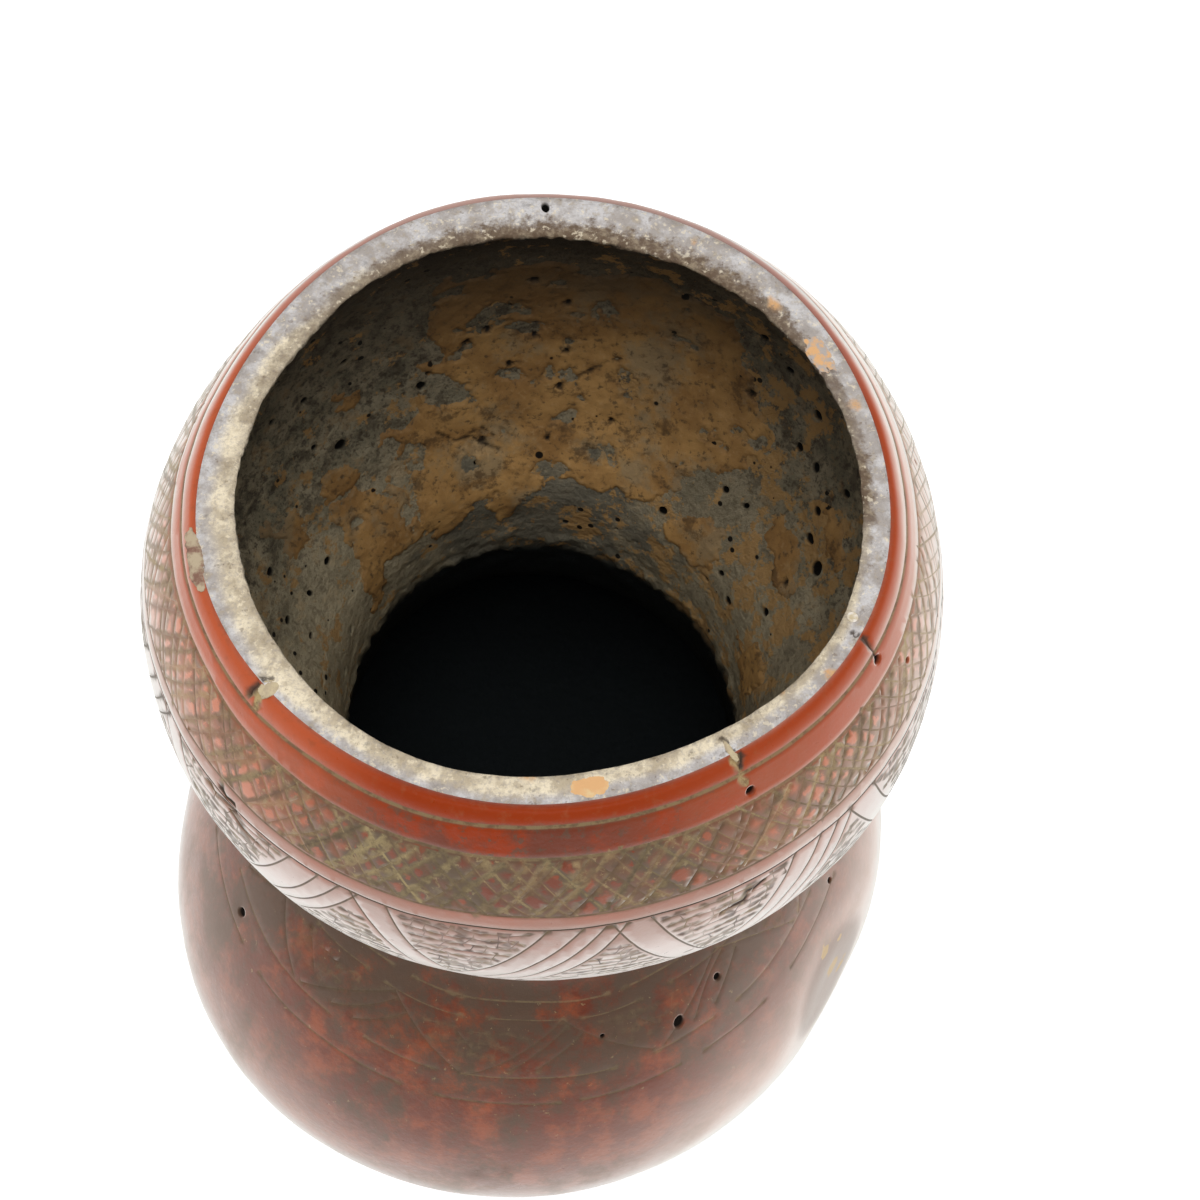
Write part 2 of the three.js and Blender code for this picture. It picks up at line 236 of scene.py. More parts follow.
def rough(points, size, octaves=4, seed=0):
    """Fractal noise of about -1 to 1 at points, with its largest lumps of one size."""
    places = (np.asarray(points, float) / size + 17.3 * seed).tolist()
    return np.array([noise.fractal(place, 0.9, 2.0, octaves) for place in places])


class Form:
    """The gourd's outer and inner surfaces, worked out from the sizes in the panel."""

    def __init__(self, sizes):
        self.sizes = sizes
        base_share = sizes.base_radius / sizes.lower_radius
        mouth_share = sizes.mouth_radius / sizes.upper_radius
        self.lower = sizes.lower_half * math.sqrt(1 - base_share**2)
        self.upper = self.lower + sizes.spacing
        self.waist = self.lower + sizes.waist_rise
        self.rim = self.upper + sizes.upper_half * math.sqrt(1 - mouth_share**2)

    def outline(self, height, hollow):
        """Radius at a height before any growth, of the outside or of the hollow."""
        s = self.sizes
        wall = s.belly_wall if hollow else 0
        waist_wall = s.waist_wall if hollow else 0
        below = self.lower - s.floor_wall if hollow else s.lower_half
        half = np.where(height < self.lower, below, s.lower_half - wall)
        lower = (s.lower_radius - wall) * np.sqrt(
            np.maximum(0, 1 - ((height - self.lower) / half) ** 2)
        )
        upper = (s.upper_radius - wall) * np.sqrt(
            np.maximum(0, 1 - ((height - self.upper) / (s.upper_half - wall)) ** 2)
        )
        away = np.abs(height - self.waist)
        waist = s.waist_radius - waist_wall + s.waist_flare * smooth(away, 0, s.waist_reach)
        waist = waist * (1 - smooth(away, s.waist_reach, s.waist_reach + s.waist_fade))
        return (lower**s.throat + upper**s.throat + waist**s.throat) ** (1 / s.throat)

    def growth(self, height, azimuth, radius, top_swells):
        """How far the gourd grew off the round."""
        lower = 1 - smooth(height, self.lower, self.waist)
        upper = smooth(height, self.waist, self.upper)
        top = smooth(height, self.upper, self.rim)
        return (
            lower * swell(LOWER_SWELLS, azimuth) * radius / self.sizes.lower_radius
            + (1 - lower) * (1 - upper) * swell(WAIST_SWELLS, azimuth)
            + upper * (1 - top) * swell(UPPER_SWELLS, azimuth)
            + upper * top * swell(top_swells, azimuth)
        )

    def scar_away(self, height, azimuth):
        """Distance from the scar's middle, in shares of its reach."""
        s = self.sizes
        turn = (azimuth - s.scar_turn + math.pi) % TURN - math.pi
        return np.hypot(turn * s.lower_radius, height - s.scar_height) / s.scar_reach

    def radius(self, height, azimuth, hollow):
        """Radius at a height and an azimuth."""
        plain = self.outline(height, hollow)
        swells = MOUTH_SWELLS if hollow else RIM_SWELLS
        fall = plain / self.sizes.lower_radius if hollow else 1
        scar = self.sizes.scar_depth * np.maximum(0, 1 - self.scar_away(height, azimuth) ** 2) ** 2
        back = smooth(height, self.upper - 10 * MM, self.upper + 15 * MM) * around(azimuth, 88, 35)
        bulge = 0 if hollow else 0.6 * MM * back
        return plain + self.growth(height, azimuth, plain, swells) - fall * scar + bulge

    def axis(self, height, hollow):
        """Where the axis passes at a height."""
        place = smooth(height, self.lower, self.upper)[..., None] * np.array(self.sizes.lean)
        if hollow:
            share = smooth(height, self.waist, self.upper)[..., None]
            place = place + share * np.array(self.sizes.hollow_shift)
        return place

    def ring(self, height, azimuth, share, outset, hollow):
        """Points on one surface, moved out from the axis."""
        radius = share * self.radius(height, azimuth, hollow) + outset
        axis = self.axis(height, hollow)
        return axis + radius[..., None] * np.stack([np.cos(azimuth), np.sin(azimuth)], -1)


class Surface:
    """One skin of the jug, from a pole on the axis to the rim's outer edge.

    Each row of its meridian holds a height, a share of the radius, how far it is set out
    from the outside and from the hollow, a lift, and the blend from outside to hollow.
    """

    def __init__(self, form, rows, outward):
        self.form = form
        self.rows = np.array(rows, float)
        self.outward = outward
        turns = np.linspace(0, TURN, 24, endpoint=False)
        grid = self.place(np.tile(turns, (len(rows), 1)), self.rows[:, None, :])
        middle = grid.mean(axis=1)
        radius = np.linalg.norm(grid[..., :2] - middle[:, None, :2], axis=-1).mean(axis=1)
        step = np.hypot(np.diff(radius), np.diff(middle[:, 2]))
        self.along = np.concatenate([[0], np.cumsum(step)])
        self.radius = radius
        self.heights = middle[:, 2]
        spread = step / ((radius[1:] + radius[:-1]) / 2)
        self.conformal = np.concatenate([[0], np.cumsum(spread)])
        self.length = self.along[-1]
        self.climb = int(np.argmax(self.heights)) + 1

    def place(self, azimuth, rows):
        """Points for azimuths and rows of the meridian."""
        height, share, out, hollow_out, lift, blend = np.moveaxis(rows, -1, 0)
        outside = self.form.ring(height, azimuth, share, out, False)
        inside = self.form.ring(height, azimuth, share, hollow_out, True)
        flat = outside + blend[..., None] * (inside - outside)
        up = np.broadcast_to(height + lift, flat.shape[:-1])
        return np.concatenate([flat, up[..., None]], axis=-1)

    def at(self, azimuth, along):
        """Points at azimuths and distances along the meridian."""
        rows = np.stack([np.interp(along, self.along, column) for column in self.rows.T], -1)
        return self.place(azimuth, rows)

    def along_at(self, height):
        """Distance along the meridian at a height in millimetres."""
        climb = self.climb
        return np.interp(np.asarray(height, float) * MM, self.heights[:climb], self.along[:climb])

    def normal(self, azimuth, along):
        """Directions out of the solid."""
        step = 0.25 * MM
        turn = step / np.maximum(self.radius_at(along), MM)
        round_way = self.at(azimuth + turn, along) - self.at(azimuth - turn, along)
        up_way = self.at(azimuth, along + step) - self.at(azimuth, along - step)
        cross = np.cross(round_way, up_way) * (1 if self.outward else -1)
        return cross / np.maximum(np.linalg.norm(cross, axis=-1, keepdims=True), 1e-15)

    def radius_at(self, along):
        """Mean radius at a distance along the meridian."""
        return np.interp(along, self.along, self.radius)

    def to_plane(self, azimuth, along):
        """Flattens the surface onto rings, true to angles."""
        ring = np.exp(np.interp(along, self.along, self.conformal) - self.conformal[-1])
        return np.stack([ring * np.cos(azimuth), ring * np.sin(azimuth)], -1)

    def from_plane(self, flat):
        """Azimuths and distances along the meridian of flattened points."""
        ring = np.log(np.hypot(flat[:, 0], flat[:, 1])) + self.conformal[-1]
        return np.arctan2(flat[:, 1], flat[:, 0]), np.interp(ring, self.conformal, self.along)


RIM_COLUMNS = 480
POLE_SHARE = 0.06
ROW_PITCH = 0.87
CLEAR_SHARE = 0.45
PARTING_GAP = 6 * MM
COAT_SPAN = 56 * MM
COAT_GAP = 0.5 * MM
COAT_ROOT = 1.2 * MM


def outside_surface(form):
    """The waxed outside: base, bellies, waist and the worn outer edge of the rim."""
    s = form.sizes
    rows = [(0, share, 0, 0, 0, 0) for share in np.linspace(POLE_SHARE, 1, 60)]
    top = form.rim - s.outer_round
    rows += [(z, 1, -inset_for_box(form, z), 0, 0, 0) for z in np.linspace(0, top, 1400)[1:]]
    for turn in np.linspace(0, math.pi / 2, 14)[1:]:
        height = form.rim - s.outer_round * (1 - math.sin(turn))
        rows.append((height, 1, -s.outer_round * (1 - math.cos(turn)), 0, -edge_dip(s, turn), 0))
    return Surface(form, rows, True)


def edge_dip(s, turn):
    """The worn edge of the rim lies a little low."""
    return 0.15 * s.outer_round * math.sin(turn) ** 2


def inset_for_box(form, height):
    """Keeps the true round belly inside the CAD model's flat facets."""
    share = float(1 - smooth(height, form.lower, form.waist))
    return 0.14 * MM * share * min(1, height / (20 * MM))


def parting_surface(form):
    """Where the hard skin meets the inner wall, inside the rind."""
    s = form.sizes
    rows = [(0, share, 0, 0, s.skin, 0) for share in np.linspace(POLE_SHARE, 1, 30)]
    heights = np.linspace(0, form.rim, 400)[1:]
    step = 0.5 * MM
    above, below = (form.outline(heights + way, False) for way in (step, -step))
    slope = (above - below) / (2 * step)
    for height, tilt in zip(heights[:-1], slope):
        depth = float(smooth(form.rim - height, 0, 4 * MM))
        long = math.hypot(1, tilt)
        inset = s.skin * depth / long + s.outer_round * (1 - depth)
        lift = s.skin * depth * tilt / long - edge_dip(s, math.pi / 2) * (1 - depth)
        rows.append((height, 1, -inset, 0, max(lift, s.skin - height), 0))
    rows.append((form.rim, 1, -s.outer_round, 0, -edge_dip(s, math.pi / 2), 0))
    return Surface(form, rows, False)


def wall_surface(form):
    """The hollow from the middle of its floor up to the lip, then the cut face of the rim."""
    s = form.sizes
    half = form.lower - s.floor_wall
    dip = edge_dip(s, math.pi / 2)
    rows = []
    for turn in np.linspace(0.045, math.pi / 2, 220):
        rows.append((form.lower - half * math.cos(turn), 1, 0, 0, 0, 1))
    top = form.rim - s.inner_round
    rows += [(z, 1, 0, 0, 0, 1) for z in np.linspace(form.lower, top, 1100)[1:]]
    for turn in np.linspace(0, math.pi / 2, 18)[1:]:
        height = form.rim - s.inner_round * (1 - math.sin(turn))
        rows.append((height, 1, 0, s.inner_round * (1 - math.cos(turn)), -dip * math.sin(turn), 1))
    rows += [
        (form.rim, 1, -s.outer_round, s.inner_round, -dip, blend)
        for blend in np.linspace(1, 0, 60)[1:]
    ]
    return Surface(form, rows, False)


class Stroke:
    """One cut line on a surface: its width and depth, how pale its fill is, how dark it marks."""

    def __init__(self, azimuth, along, width, depth, fill, closed=False, mark=1.0):
        self.azimuth = np.asarray(azimuth, float)
        self.along = np.asarray(along, float)
        self.width, self.depth, self.fill = width, depth, fill
        self.closed, self.mark = closed, mark

    def lines(self, surface):
        """The cut's two edges and its bottom, each as azimuths and distances along."""
        radius = surface.radius_at(self.along)
        place = np.stack([self.azimuth * radius, self.along], -1)
        if self.closed:
            way = np.roll(place, -1, axis=0) - np.roll(place, 1, axis=0)
            way[:, 0] = np.mod(way[:, 0] + math.pi * radius, TURN * radius) - math.pi * radius
            taper = np.ones(len(place))
        else:
            way = np.gradient(place, axis=0)
            ends = np.minimum(np.arange(len(place)), np.arange(len(place))[::-1])
            taper = np.clip(0.25 + 0.4 * ends, 0, 1)
        way /= np.linalg.norm(way, axis=1, keepdims=True)
        for side in (-0.5, 0.5, 0):
            shift = side * self.width * taper
            yield self.azimuth - way[:, 1] * shift / radius, self.along + way[:, 0] * shift


class Pit:
    """A small hole, longer one way than the other."""

    def __init__(self, azimuth, along, radius, depth, stretch=1.0, tilt=0.0):
        self.azimuth, self.along, self.radius, self.depth = azimuth, along, radius, depth
        self.stretch, self.tilt = stretch, tilt

    def away(self, surface, azimuth, along):
        """Distance from the middle in shares of the pit's own radius."""
        turn = (azimuth - self.azimuth + math.pi) % TURN - math.pi
        x = turn * surface.radius_at(self.along)
        y = along - self.along
        across = (x * math.cos(self.tilt) + y * math.sin(self.tilt)) / (self.radius * self.stretch)
        up = (y * math.cos(self.tilt) - x * math.sin(self.tilt)) / self.radius
        return np.hypot(across, up)

    def rings(self, surface):
        """Closed rings of points round the pit."""
        for share, count in ((1.45, 12), (1.13, 16), (0.92, 14), (0.45, 6)):
            turn = np.arange(count) * TURN / count + share
            x = self.radius * self.stretch * share * np.cos(turn)
            y = self.radius * share * np.sin(turn)
            across = x * math.cos(self.tilt) - y * math.sin(self.tilt)
            up = x * math.sin(self.tilt) + y * math.cos(self.tilt)
            yield self.azimuth + across / surface.radius_at(self.along), self.along + up


def weave(surface, spacing, strokes=(), pits=()):
    """Covers a surface with triangles that follow its strokes and pits."""
    turns, alongs, edges = [], [], []
    count = 0
    lines = [(line, stroke.closed) for stroke in strokes for line in stroke.lines(surface)]
    lines += [(ring, True) for pit in pits for ring in pit.rings(surface)]
    for (azimuth, along), closed in lines:
        size = len(azimuth)
        last = size if closed else size - 1
        edges += [(count + i, count + (i + 1) % size) for i in range(last)]
        turns.append(azimuth)
        alongs.append(along)
        count += size
    guide = KDTree(count)
    if count:
        for index, point in enumerate(surface.at(np.concatenate(turns), np.concatenate(alongs))):
            guide.insert(point, index)
    guide.balance()
    along, odd = 0.0, 0
    while along < surface.length - 0.6 * spacing(surface.length):
        gap = spacing(along)
        columns = max(10, round(TURN * surface.radius_at(along) / gap))
        azimuth = (np.arange(columns) + odd / 2) * TURN / columns
        row = np.full(columns, along)
        if count and along > 0:
            near = [guide.find(point)[2] for point in surface.at(azimuth, row)]
            keep = np.array(near) > CLEAR_SHARE * gap
            azimuth, row = azimuth[keep], row[keep]
        turns.append(azimuth)
        alongs.append(row)
        along += ROW_PITCH * gap
        odd = 1 - odd
    step = TURN / RIM_COLUMNS
    turns.append(np.arange(RIM_COLUMNS) * TURN / RIM_COLUMNS)
    alongs.append(np.full(RIM_COLUMNS, surface.length))
    flat = surface.to_plane(np.concatenate(turns), np.concatenate(alongs))
    found = delaunay_2d_cdt([Vector(p) for p in flat.tolist()], edges, [], 0, 1e-7, False)
    places = np.array([tuple(v) for v in found[0]])
    azimuth, along = surface.from_plane(places)
    rim = np.hypot(places[:, 0], places[:, 1]) > 0.9995
    azimuth[rim] = (np.round(azimuth[rim] / step) % RIM_COLUMNS) * step
    along[rim] = surface.length
    triangles = np.array(found[2])
    if surface.outward:
        triangles = triangles[:, ::-1]
    return {
        "azimuth": azimuth,
        "along": along,
        "rim": rim,
        "triangles": triangles,
        "outward": surface.outward,
    }


def cut_masks(surface, strokes, points, reach):
    """Depth of the cuts at each point, and masks of where, how near, how pale and how dark."""
    samples, facts = [], []
    for stroke in strokes:
        azimuth, along = stroke.azimuth, stroke.along
        if stroke.closed:
            azimuth = np.append(azimuth, azimuth[0] + TURN)
            along = np.append(along, along[0])
        size = len(azimuth)
        fine = np.linspace(0, size - 1, 5 * (size - 1) + 1)
        samples.append(
            surface.at(np.interp(fine, range(size), azimuth), np.interp(fine, range(size), along))
        )
        facts += [(stroke.width / 2, stroke.depth, stroke.fill, stroke.mark)] * len(fine)
    samples = np.concatenate(samples)
    facts = np.array(facts)
    tree = KDTree(len(samples))
    for index, point in enumerate(samples):
        tree.insert(point, index)
    tree.balance()
    depth = np.zeros(len(points))
    masks = {name: np.zeros(len(points)) for name in ("cut", "halo", "fill", "mark")}
    for index in np.flatnonzero(points[:, 2] > samples[:, 2].min() - reach):
        near = tree.find_range(points[index], reach)
        if not near:
            continue
        rows = facts[[row for _, row, _ in near]]
        away = np.array([distance for _, _, distance in near])
        shares = np.maximum(0, 1 - away / rows[:, 0])
        best = int(np.argmax(shares * rows[:, 1]))
        nearest = int(np.argmin(away))
        depth[index] = shares[best] * rows[best, 1]
        masks["cut"][index] = shares[best]
        masks["halo"][index] = 1 - away[nearest] / reach
        masks["fill"][index] = rows[nearest, 2]
        masks["mark"][index] = rows[nearest, 3]
    return depth, masks


def pit_masks(surface, sheet, pits):
    """Depth of the pits at each point, and how deep inside one it lies."""
    depth = np.zeros(len(sheet["azimuth"]))
    mask = np.zeros(len(depth))
    for pit in pits:
        away = pit.away(surface, sheet["azimuth"], sheet["along"])
        inside = 1 - smooth(away, 0.7, 1.1)
        depth = np.maximum(depth, pit.depth * inside + 0.05 * MM * (1 - smooth(away, 1, 1.45)))
        mask = np.maximum(mask, 1 - smooth(away, 0.94, 1.13))
    return depth, mask


def finished_piece(name, points, triangles, masks, material, node, slot):
    """A mesh object at the origin that stands for its CAD node."""
    mesh = bpy.data.meshes.new(name)
    mesh.from_pydata(np.asarray(points).tolist(), [], np.asarray(triangles).tolist())
    mesh.polygons.foreach_set("use_smooth", np.ones(len(mesh.polygons), bool))
    for label, values in masks.items():
        attribute = mesh.attributes.new(label, "FLOAT", "POINT")
        attribute.data.foreach_set("value", np.asarray(values, np.float32))
    mesh.update()
    piece = bpy.data.objects.new(name, mesh)
    bpy.context.scene.collection.objects.link(piece)
    mesh.materials.append(material)
    seat(piece, node, slot)


def seat(piece, node, slot):
    """Ties a finished piece to its body and hides the CAD node it stands for; its finish, the
    slot, is not used.
    """
    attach(piece, "root")
    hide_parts(node)


def shell_piece(name, form, front, front_points, masks, material):
    """Closes a sheet of the shell along the parting surface and the rim's ring."""
    parting = parting_surface(form)
    back = weave(parting, lambda along: PARTING_GAP)
    if not front["outward"]:
        back["triangles"] = back["triangles"][:, ::-1]
    back_points = parting.at(back["azimuth"], back["along"])
    ring, back_ring = (np.flatnonzero(sheet["rim"]) for sheet in (front, back))
    ring = ring[np.argsort(front["azimuth"][ring])]
    back_ring = back_ring[np.argsort(back["azimuth"][back_ring])]
    inner = np.flatnonzero(~back["rim"])
    index = np.empty(len(back["azimuth"]), int)
    index[inner] = np.arange(len(inner)) + len(front_points)
    index[back_ring] = ring
    points = np.concatenate([front_points, back_points[inner]])
    triangles = np.concatenate([front["triangles"], index[back["triangles"]]])
    spread = {label: np.append(mask, np.zeros(len(inner))) for label, mask in masks.items()}
    finished_piece(name, points, triangles, spread, material, "gourd_shell", "rind")


# Hatched triangles of the upper band: azimuths of their two top corners, in degrees
UPPER_TRIANGLES = (
    (-147, -123.4), (-108.8, -87.1), (-73.3, -52), (-37, -15), (-1, 20),
    (35, 57), (70, 92), (105, 127), (141, 163), (177, 199),
)
UPPER_BAND = (222.4, 199.0)
LATTICE_FOOT = 225.5
FIRST_LINE = (
    (-156, 239.5), (-145, 239.3), (-136, 238.9), (-124, 239.2), (-105, 239.2), (-85, 239.6),
    (-60, 239.5), (-35, 239.3), (0, 239.0), (90, 238.8), (180, 239.1),
)
SECOND_LINE = (
    (-158, 236.8), (-147, 236.6), (-138, 235.7), (-123, 235.4), (-90, 235.3), (-30, 235.5),
    (0, 235.8), (90, 235.6), (180, 236.4),
)
LOWER_BAND = (119.3, 110.0)

# Cracks below the rim, then gouges in the zigzag: bends as azimuth and height, then the cut's
# width, depth, pale fill and dark mark
SKIN_CUTS = (
    # Cracks with no pale fill are left dark: painted shade inside the notch
    (((-138.2, 241.3), (-138.5, 240.7), (-138.3, 240.1)), 1.4, 2.2, 0, 0.9),
    (((-136.6, 241.3), (-136.9, 240.3), (-136.3, 239.4)), 2.6, 1.0, 1.0, 0.9),
    (((-56.9, 241.3), (-56.4, 240.3), (-56.7, 239.2), (-56.1, 237.9)), 1.2, 1.2, 1.0, 0.8),
    (((-55.4, 241.3), (-55.8, 240.7), (-56.3, 240.2)), 0.9, 1.8, 0.0, 0.95),
    (((-27.0, 241.3), (-27.3, 240.3), (-27.2, 239.4), (-27.5, 238.6)), 0.8, 2.0, 0, 0.9),
    (((-139.2, 221.3), (-137.6, 220.9), (-135.4, 221.6), (-133.3, 221.9)), 2.4, 2.0, 0, 1),
    (((-136.6, 223.4), (-135.4, 222.9), (-134.1, 223.1)), 1.5, 1.5, 0, 1),
    (((-134.2, 221.0), (-131.8, 219.6), (-129.0, 219.2)), 1.6, 1.5, 0, 1),
    (((-63.7, 217.6), (-62.0, 217.9), (-60.4, 218.0), (-59.6, 219.8)), 1.6, 1.5, 0, 1),
    (((-60.4, 218.0), (-58.8, 219.9), (-57.1, 220.8)), 1.2, 1.2, 0, 1),
)

# Lines right round the jug: height or course, width, depth, pale fill and dark mark
ROUND_LINES = (
    (FIRST_LINE, 1.6, 0.9, 0.5, 0.75),
    (SECOND_LINE, 1.6, 0.9, 0.55, 0.7),
    (LATTICE_FOOT, 1.2, 0.4, 0.3, 0.75),
    (UPPER_BAND[0] + 0.1, 0.9, 0.5, 0.05, 1),
    (UPPER_BAND[1] - 0.1, 0.9, 0.5, 0.05, 1),
    (UPPER_BAND[1] - 3.2, 0.9, 0.5, 0.1, 1),
)
WORN_LINES = (
    (122.0, 1.2, 0.15, 0.6, 0.35),
    (LOWER_BAND[0], 0.8, 0.12, 0.5, 0.35),
    (LOWER_BAND[1], 0.8, 0.15, 0.5, 0.4),
    (105.0, 1.0, 0.15, 0.3, 0.55),
)


class Engraver:
    """Lays out the cut lines on the skin, in degrees and millimetres."""

    def __init__(self, surface, settings):
        self.surface = surface
        self.settings = settings
        random = np.random.default_rng(settings.seed)
        self.among, self.normal, self.chance = random.uniform, random.normal, random.random
        self.strokes = []
        self.hatched = []

    def cut(self, azimuth, height, width=1.0, depth=1.0, fill=0.2, closed=False, mark=1.0):
        """One cut through places in degrees and millimetres."""
        self.strokes.append(
            Stroke(
                np.radians(azimuth),
                self.surface.along_at(height),
                width * self.settings.line_width,
                depth * self.settings.line_depth,
                fill,
                closed,
                mark,
            )
        )

    def line(self, start, end, bend=0.0, step=0.9, **cut):
        """A cut from one place to another, with a hand's slight bend."""
        radius = float(self.surface.radius_at(self.surface.along_at(start[1]))) / MM
        size = math.hypot(math.radians(end[0] - start[0]) * radius, end[1] - start[1])
        share = np.linspace(0, 1, max(3, round(size / step) + 1))
        stray = self.normal(0, 0.02, 2)
        bow = np.sin(share * math.pi)
        azimuth = start[0] + (end[0] - start[0]) * share + bow * (bend + stray[0] * size)
        height = start[1] + (end[1] - start[1]) * share + bow * stray[1] * size
        self.cut(azimuth, height, **cut)

    def round_line(self, height, **cut):
        """A cut right round the jug at a height or at a course of heights, with a slow wobble."""
        azimuth = np.arange(0, 360, 0.85)
        stray = np.zeros(len(azimuth))
        for waves in (2, 5, 9, 17):
            push = self.normal(0, 0.45 / math.sqrt(waves))
            stray += push * np.sin(np.radians(azimuth * waves + self.among(0, 360)))
        wobble = self.settings.wobble / MM
        if isinstance(height, tuple):
            height = course(height, azimuth)
        self.cut(azimuth, height + wobble * stray, closed=True, **cut)

    def worn_line(self, height, **cut):
        """A line right round the jug that has worn away in places."""
        start = 0.0
        while start < 352:
            end = min(start + self.among(8, 34), 358)
            azimuth = np.linspace(start, end, max(4, round(end - start)))
            stray = 0.4 * np.sin(np.radians(3 * azimuth + 40))
            stray += 0.2 * np.sin(np.radians(11 * azimuth))
            self.cut(azimuth, height + stray + self.normal(0, 0.12), **cut)
            start = end + self.among(1.5, 9)

    def lattice(self):
        """Slanting lines each way between the second and third lines."""
        low = LATTICE_FOOT
        count = self.settings.lattice_lines
        for lean in (-1, 1):
            for index in range(count):
                azimuth = (index + self.normal(0, 0.15)) * 360 / count
                high = float(course(SECOND_LINE, azimuth))
                run = lean * self.normal(8.8, 0.8)
                start, end = self.among(-0.3, 0.8, 2)
                slope = run / (high - low)
                self.line(
                    (azimuth + slope * start, high - start),
                    (azimuth + run - slope * end, low + end),
                    width=self.among(0.7, 1.3),
                    depth=self.among(0.1, 0.35),
                    fill=self.among(0.2, 1.0),
                    mark=self.among(0.5, 1.0),
                    step=1.1,
                )

    def hatch(self, corners, share=1.0):
        """Rows of long strokes and short cross strokes inside a triangle."""
        corners = np.array(corners, float)
        self.hatched.append(corners)
        low, high = corners[:, 1].min(), corners[:, 1].max()
        gap = self.settings.stroke_gap / MM
        height = high - 0.7 * gap
        while height > low + 0.8 * gap:
            ends = row_ends(corners, height)
            if ends is None or ends[1] - ends[0] < 1.6:
                height -= gap
                continue
            start = ends[0] + self.among(0.2, 1.0)
            while start < ends[1] - 1.0:
                size = self.among(1.9, 4.2)
                end = min(start + size, ends[1] - self.among(0, 0.8))
                tilt = self.normal(0, 0.22)
                if end - start > 0.7:
                    self.line(
                        (start, height + tilt),
                        (end, height - tilt + self.normal(0, 0.12)),
                        width=self.among(0.4, 0.65),
                        depth=share * self.among(0.1, 0.25),
                        fill=self.among(0, 0.6),
                        mark=max(0.25, share * self.among(0.45, 0.85)),
                    )
                if self.chance() < 0.9:
                    cross = start + self.among(0.2, 0.9) * (end - start)
                    self.line(
                        (cross, height + 0.2),
                        (cross + self.normal(-0.5, 0.6), height - gap * 1.05),
                        width=0.5,
                        depth=0.15 * share,
                        fill=self.among(0, 0.5),
                        mark=max(0.2, share * self.among(0.4, 0.85)),
                        step=0.6,
                    )
                start = end + self.among(0.1, 0.6)
            height -= gap * self.among(0.9, 1.1)

    def zigzag(self):
        """The wide band of hatched triangles and plain slanting strips."""
        high, low = UPPER_BAND
        count = len(UPPER_TRIANGLES)
        for index, (left, right) in enumerate(UPPER_TRIANGLES):
            next_left = UPPER_TRIANGLES[(index + 1) % count][0]
            next_left += 360 if index == count - 1 else 0
            fall, rise = -0.62 + self.normal(0, 0.02), 0.42 + self.normal(0, 0.02)
            drop = (right - left) / (rise - fall)
            apex = (left + rise * drop, high - drop)
            bold = {"width": 1.0, "depth": 0.7, "fill": 0.2, "mark": 0.85}
            self.line((left, high), apex, bend=-0.5, **bold)
            self.line((right, high), apex, bend=0.6, **bold)
            self.hatch([(left + 0.8, high), (right - 0.8, high), apex])
            slants = [shift for shift in (4.7, 7.8, 10.6) if right + shift < next_left - 1.5]
            reach = high - low
            for shift in slants:
                end = (right + shift + fall * reach + self.normal(0, 0.5), low)
                self.line((right + shift, high), end, bend=0.8, **bold)
            last = right + slants[-1]
            first = next_left - 5.2
            self.line((first, high), (first + rise * reach, low), bend=-0.2, **bold)
            cross = max(0.0, (last - first) / (rise - fall))
            top = (first + rise * cross + 0.2, high - cross - 1.6)
            self.hatch([
                top,
                (last + fall * reach + 1.2, low + 0.4),
                (first + rise * reach - 1.6, low + 0.4),
            ])

    def lower_band(self):
        """The worn band round the lower belly's shoulder."""
        high, low = LOWER_BAND
        for start in np.arange(-117, 243, 36):
            worn = {"width": 0.7, "depth": 0.15, "fill": self.among(0.1, 0.8), "mark": 0.45}
            for (left, top), (right, foot), bend in (
                ((0, high), (17, low + 0.5), 0.4),
                ((15, high - 2.4), (19, high - 5), 0),
                ((36, high), (19, low + 0.6), -0.4),
                ((37, high - 1), (26, high - 7.4), 0),
                ((40, high - 2.3), (31, high - 7.2), 0),
            ):
                self.line((start + left, top), (start + right, foot), bend, **worn)
            corners = ((5, high - 0.6), (31, high - 0.6), (18, low + 2))
            self.hatch([(start + turn, height) for turn, height in corners], 0.15)

    def all_strokes(self):
        """Every cut on the jug."""
        for bends, width, depth, fill, mark in SKIN_CUTS:
            self.cut(*zip(*bends), width, depth, fill, mark=mark)
        for height, width, depth, fill, mark in ROUND_LINES:
            self.round_line(height, width=width, depth=depth, fill=fill, mark=mark)
        self.lattice()
        self.zigzag()
        for height, width, depth, fill, mark in WORN_LINES:
            self.worn_line(height, width=width, depth=depth, fill=fill, mark=mark)
        self.lower_band()
        return self.strokes


def course(bends, azimuth):
    """Height along a line that rises and falls round the jug."""
    turns, heights = zip(*bends)
    return np.interp(azimuth, turns, heights, period=360)


def row_ends(corners, height):
    """Where a level line enters and leaves a polygon."""
    found = []
    for (x0, y0), (x1, y1) in zip(corners, np.roll(corners, -1, axis=0)):
        if (y0 - height) * (y1 - height) < 0:
            found.append(x0 + (x1 - x0) * (height - y0) / (y1 - y0))
    return (min(found), max(found)) if len(found) > 1 else None


def depth_inside(places, corners):
    """How far places lie inside a polygon, and below 0 outside it."""
    ahead = np.roll(corners, -1, axis=0)
    edge = ahead - corners
    to = places[:, None] - corners
    share = np.clip((to * edge).sum(-1) / (edge * edge).sum(-1), 0, 1)
    near = np.linalg.norm(to - share[..., None] * edge, axis=-1).min(axis=1)
    level = places[:, 1, None]
    spans = (corners[:, 1] > level) != (ahead[:, 1] > level)
    rise = np.where(edge[:, 1] == 0, 1, edge[:, 1])
    side = corners[:, 0] + (level - corners[:, 1]) * edge[:, 0] / rise
    inside = (spans & (places[:, 0, None] < side)).sum(1) % 2 == 1
    return np.where(inside, near, -near)


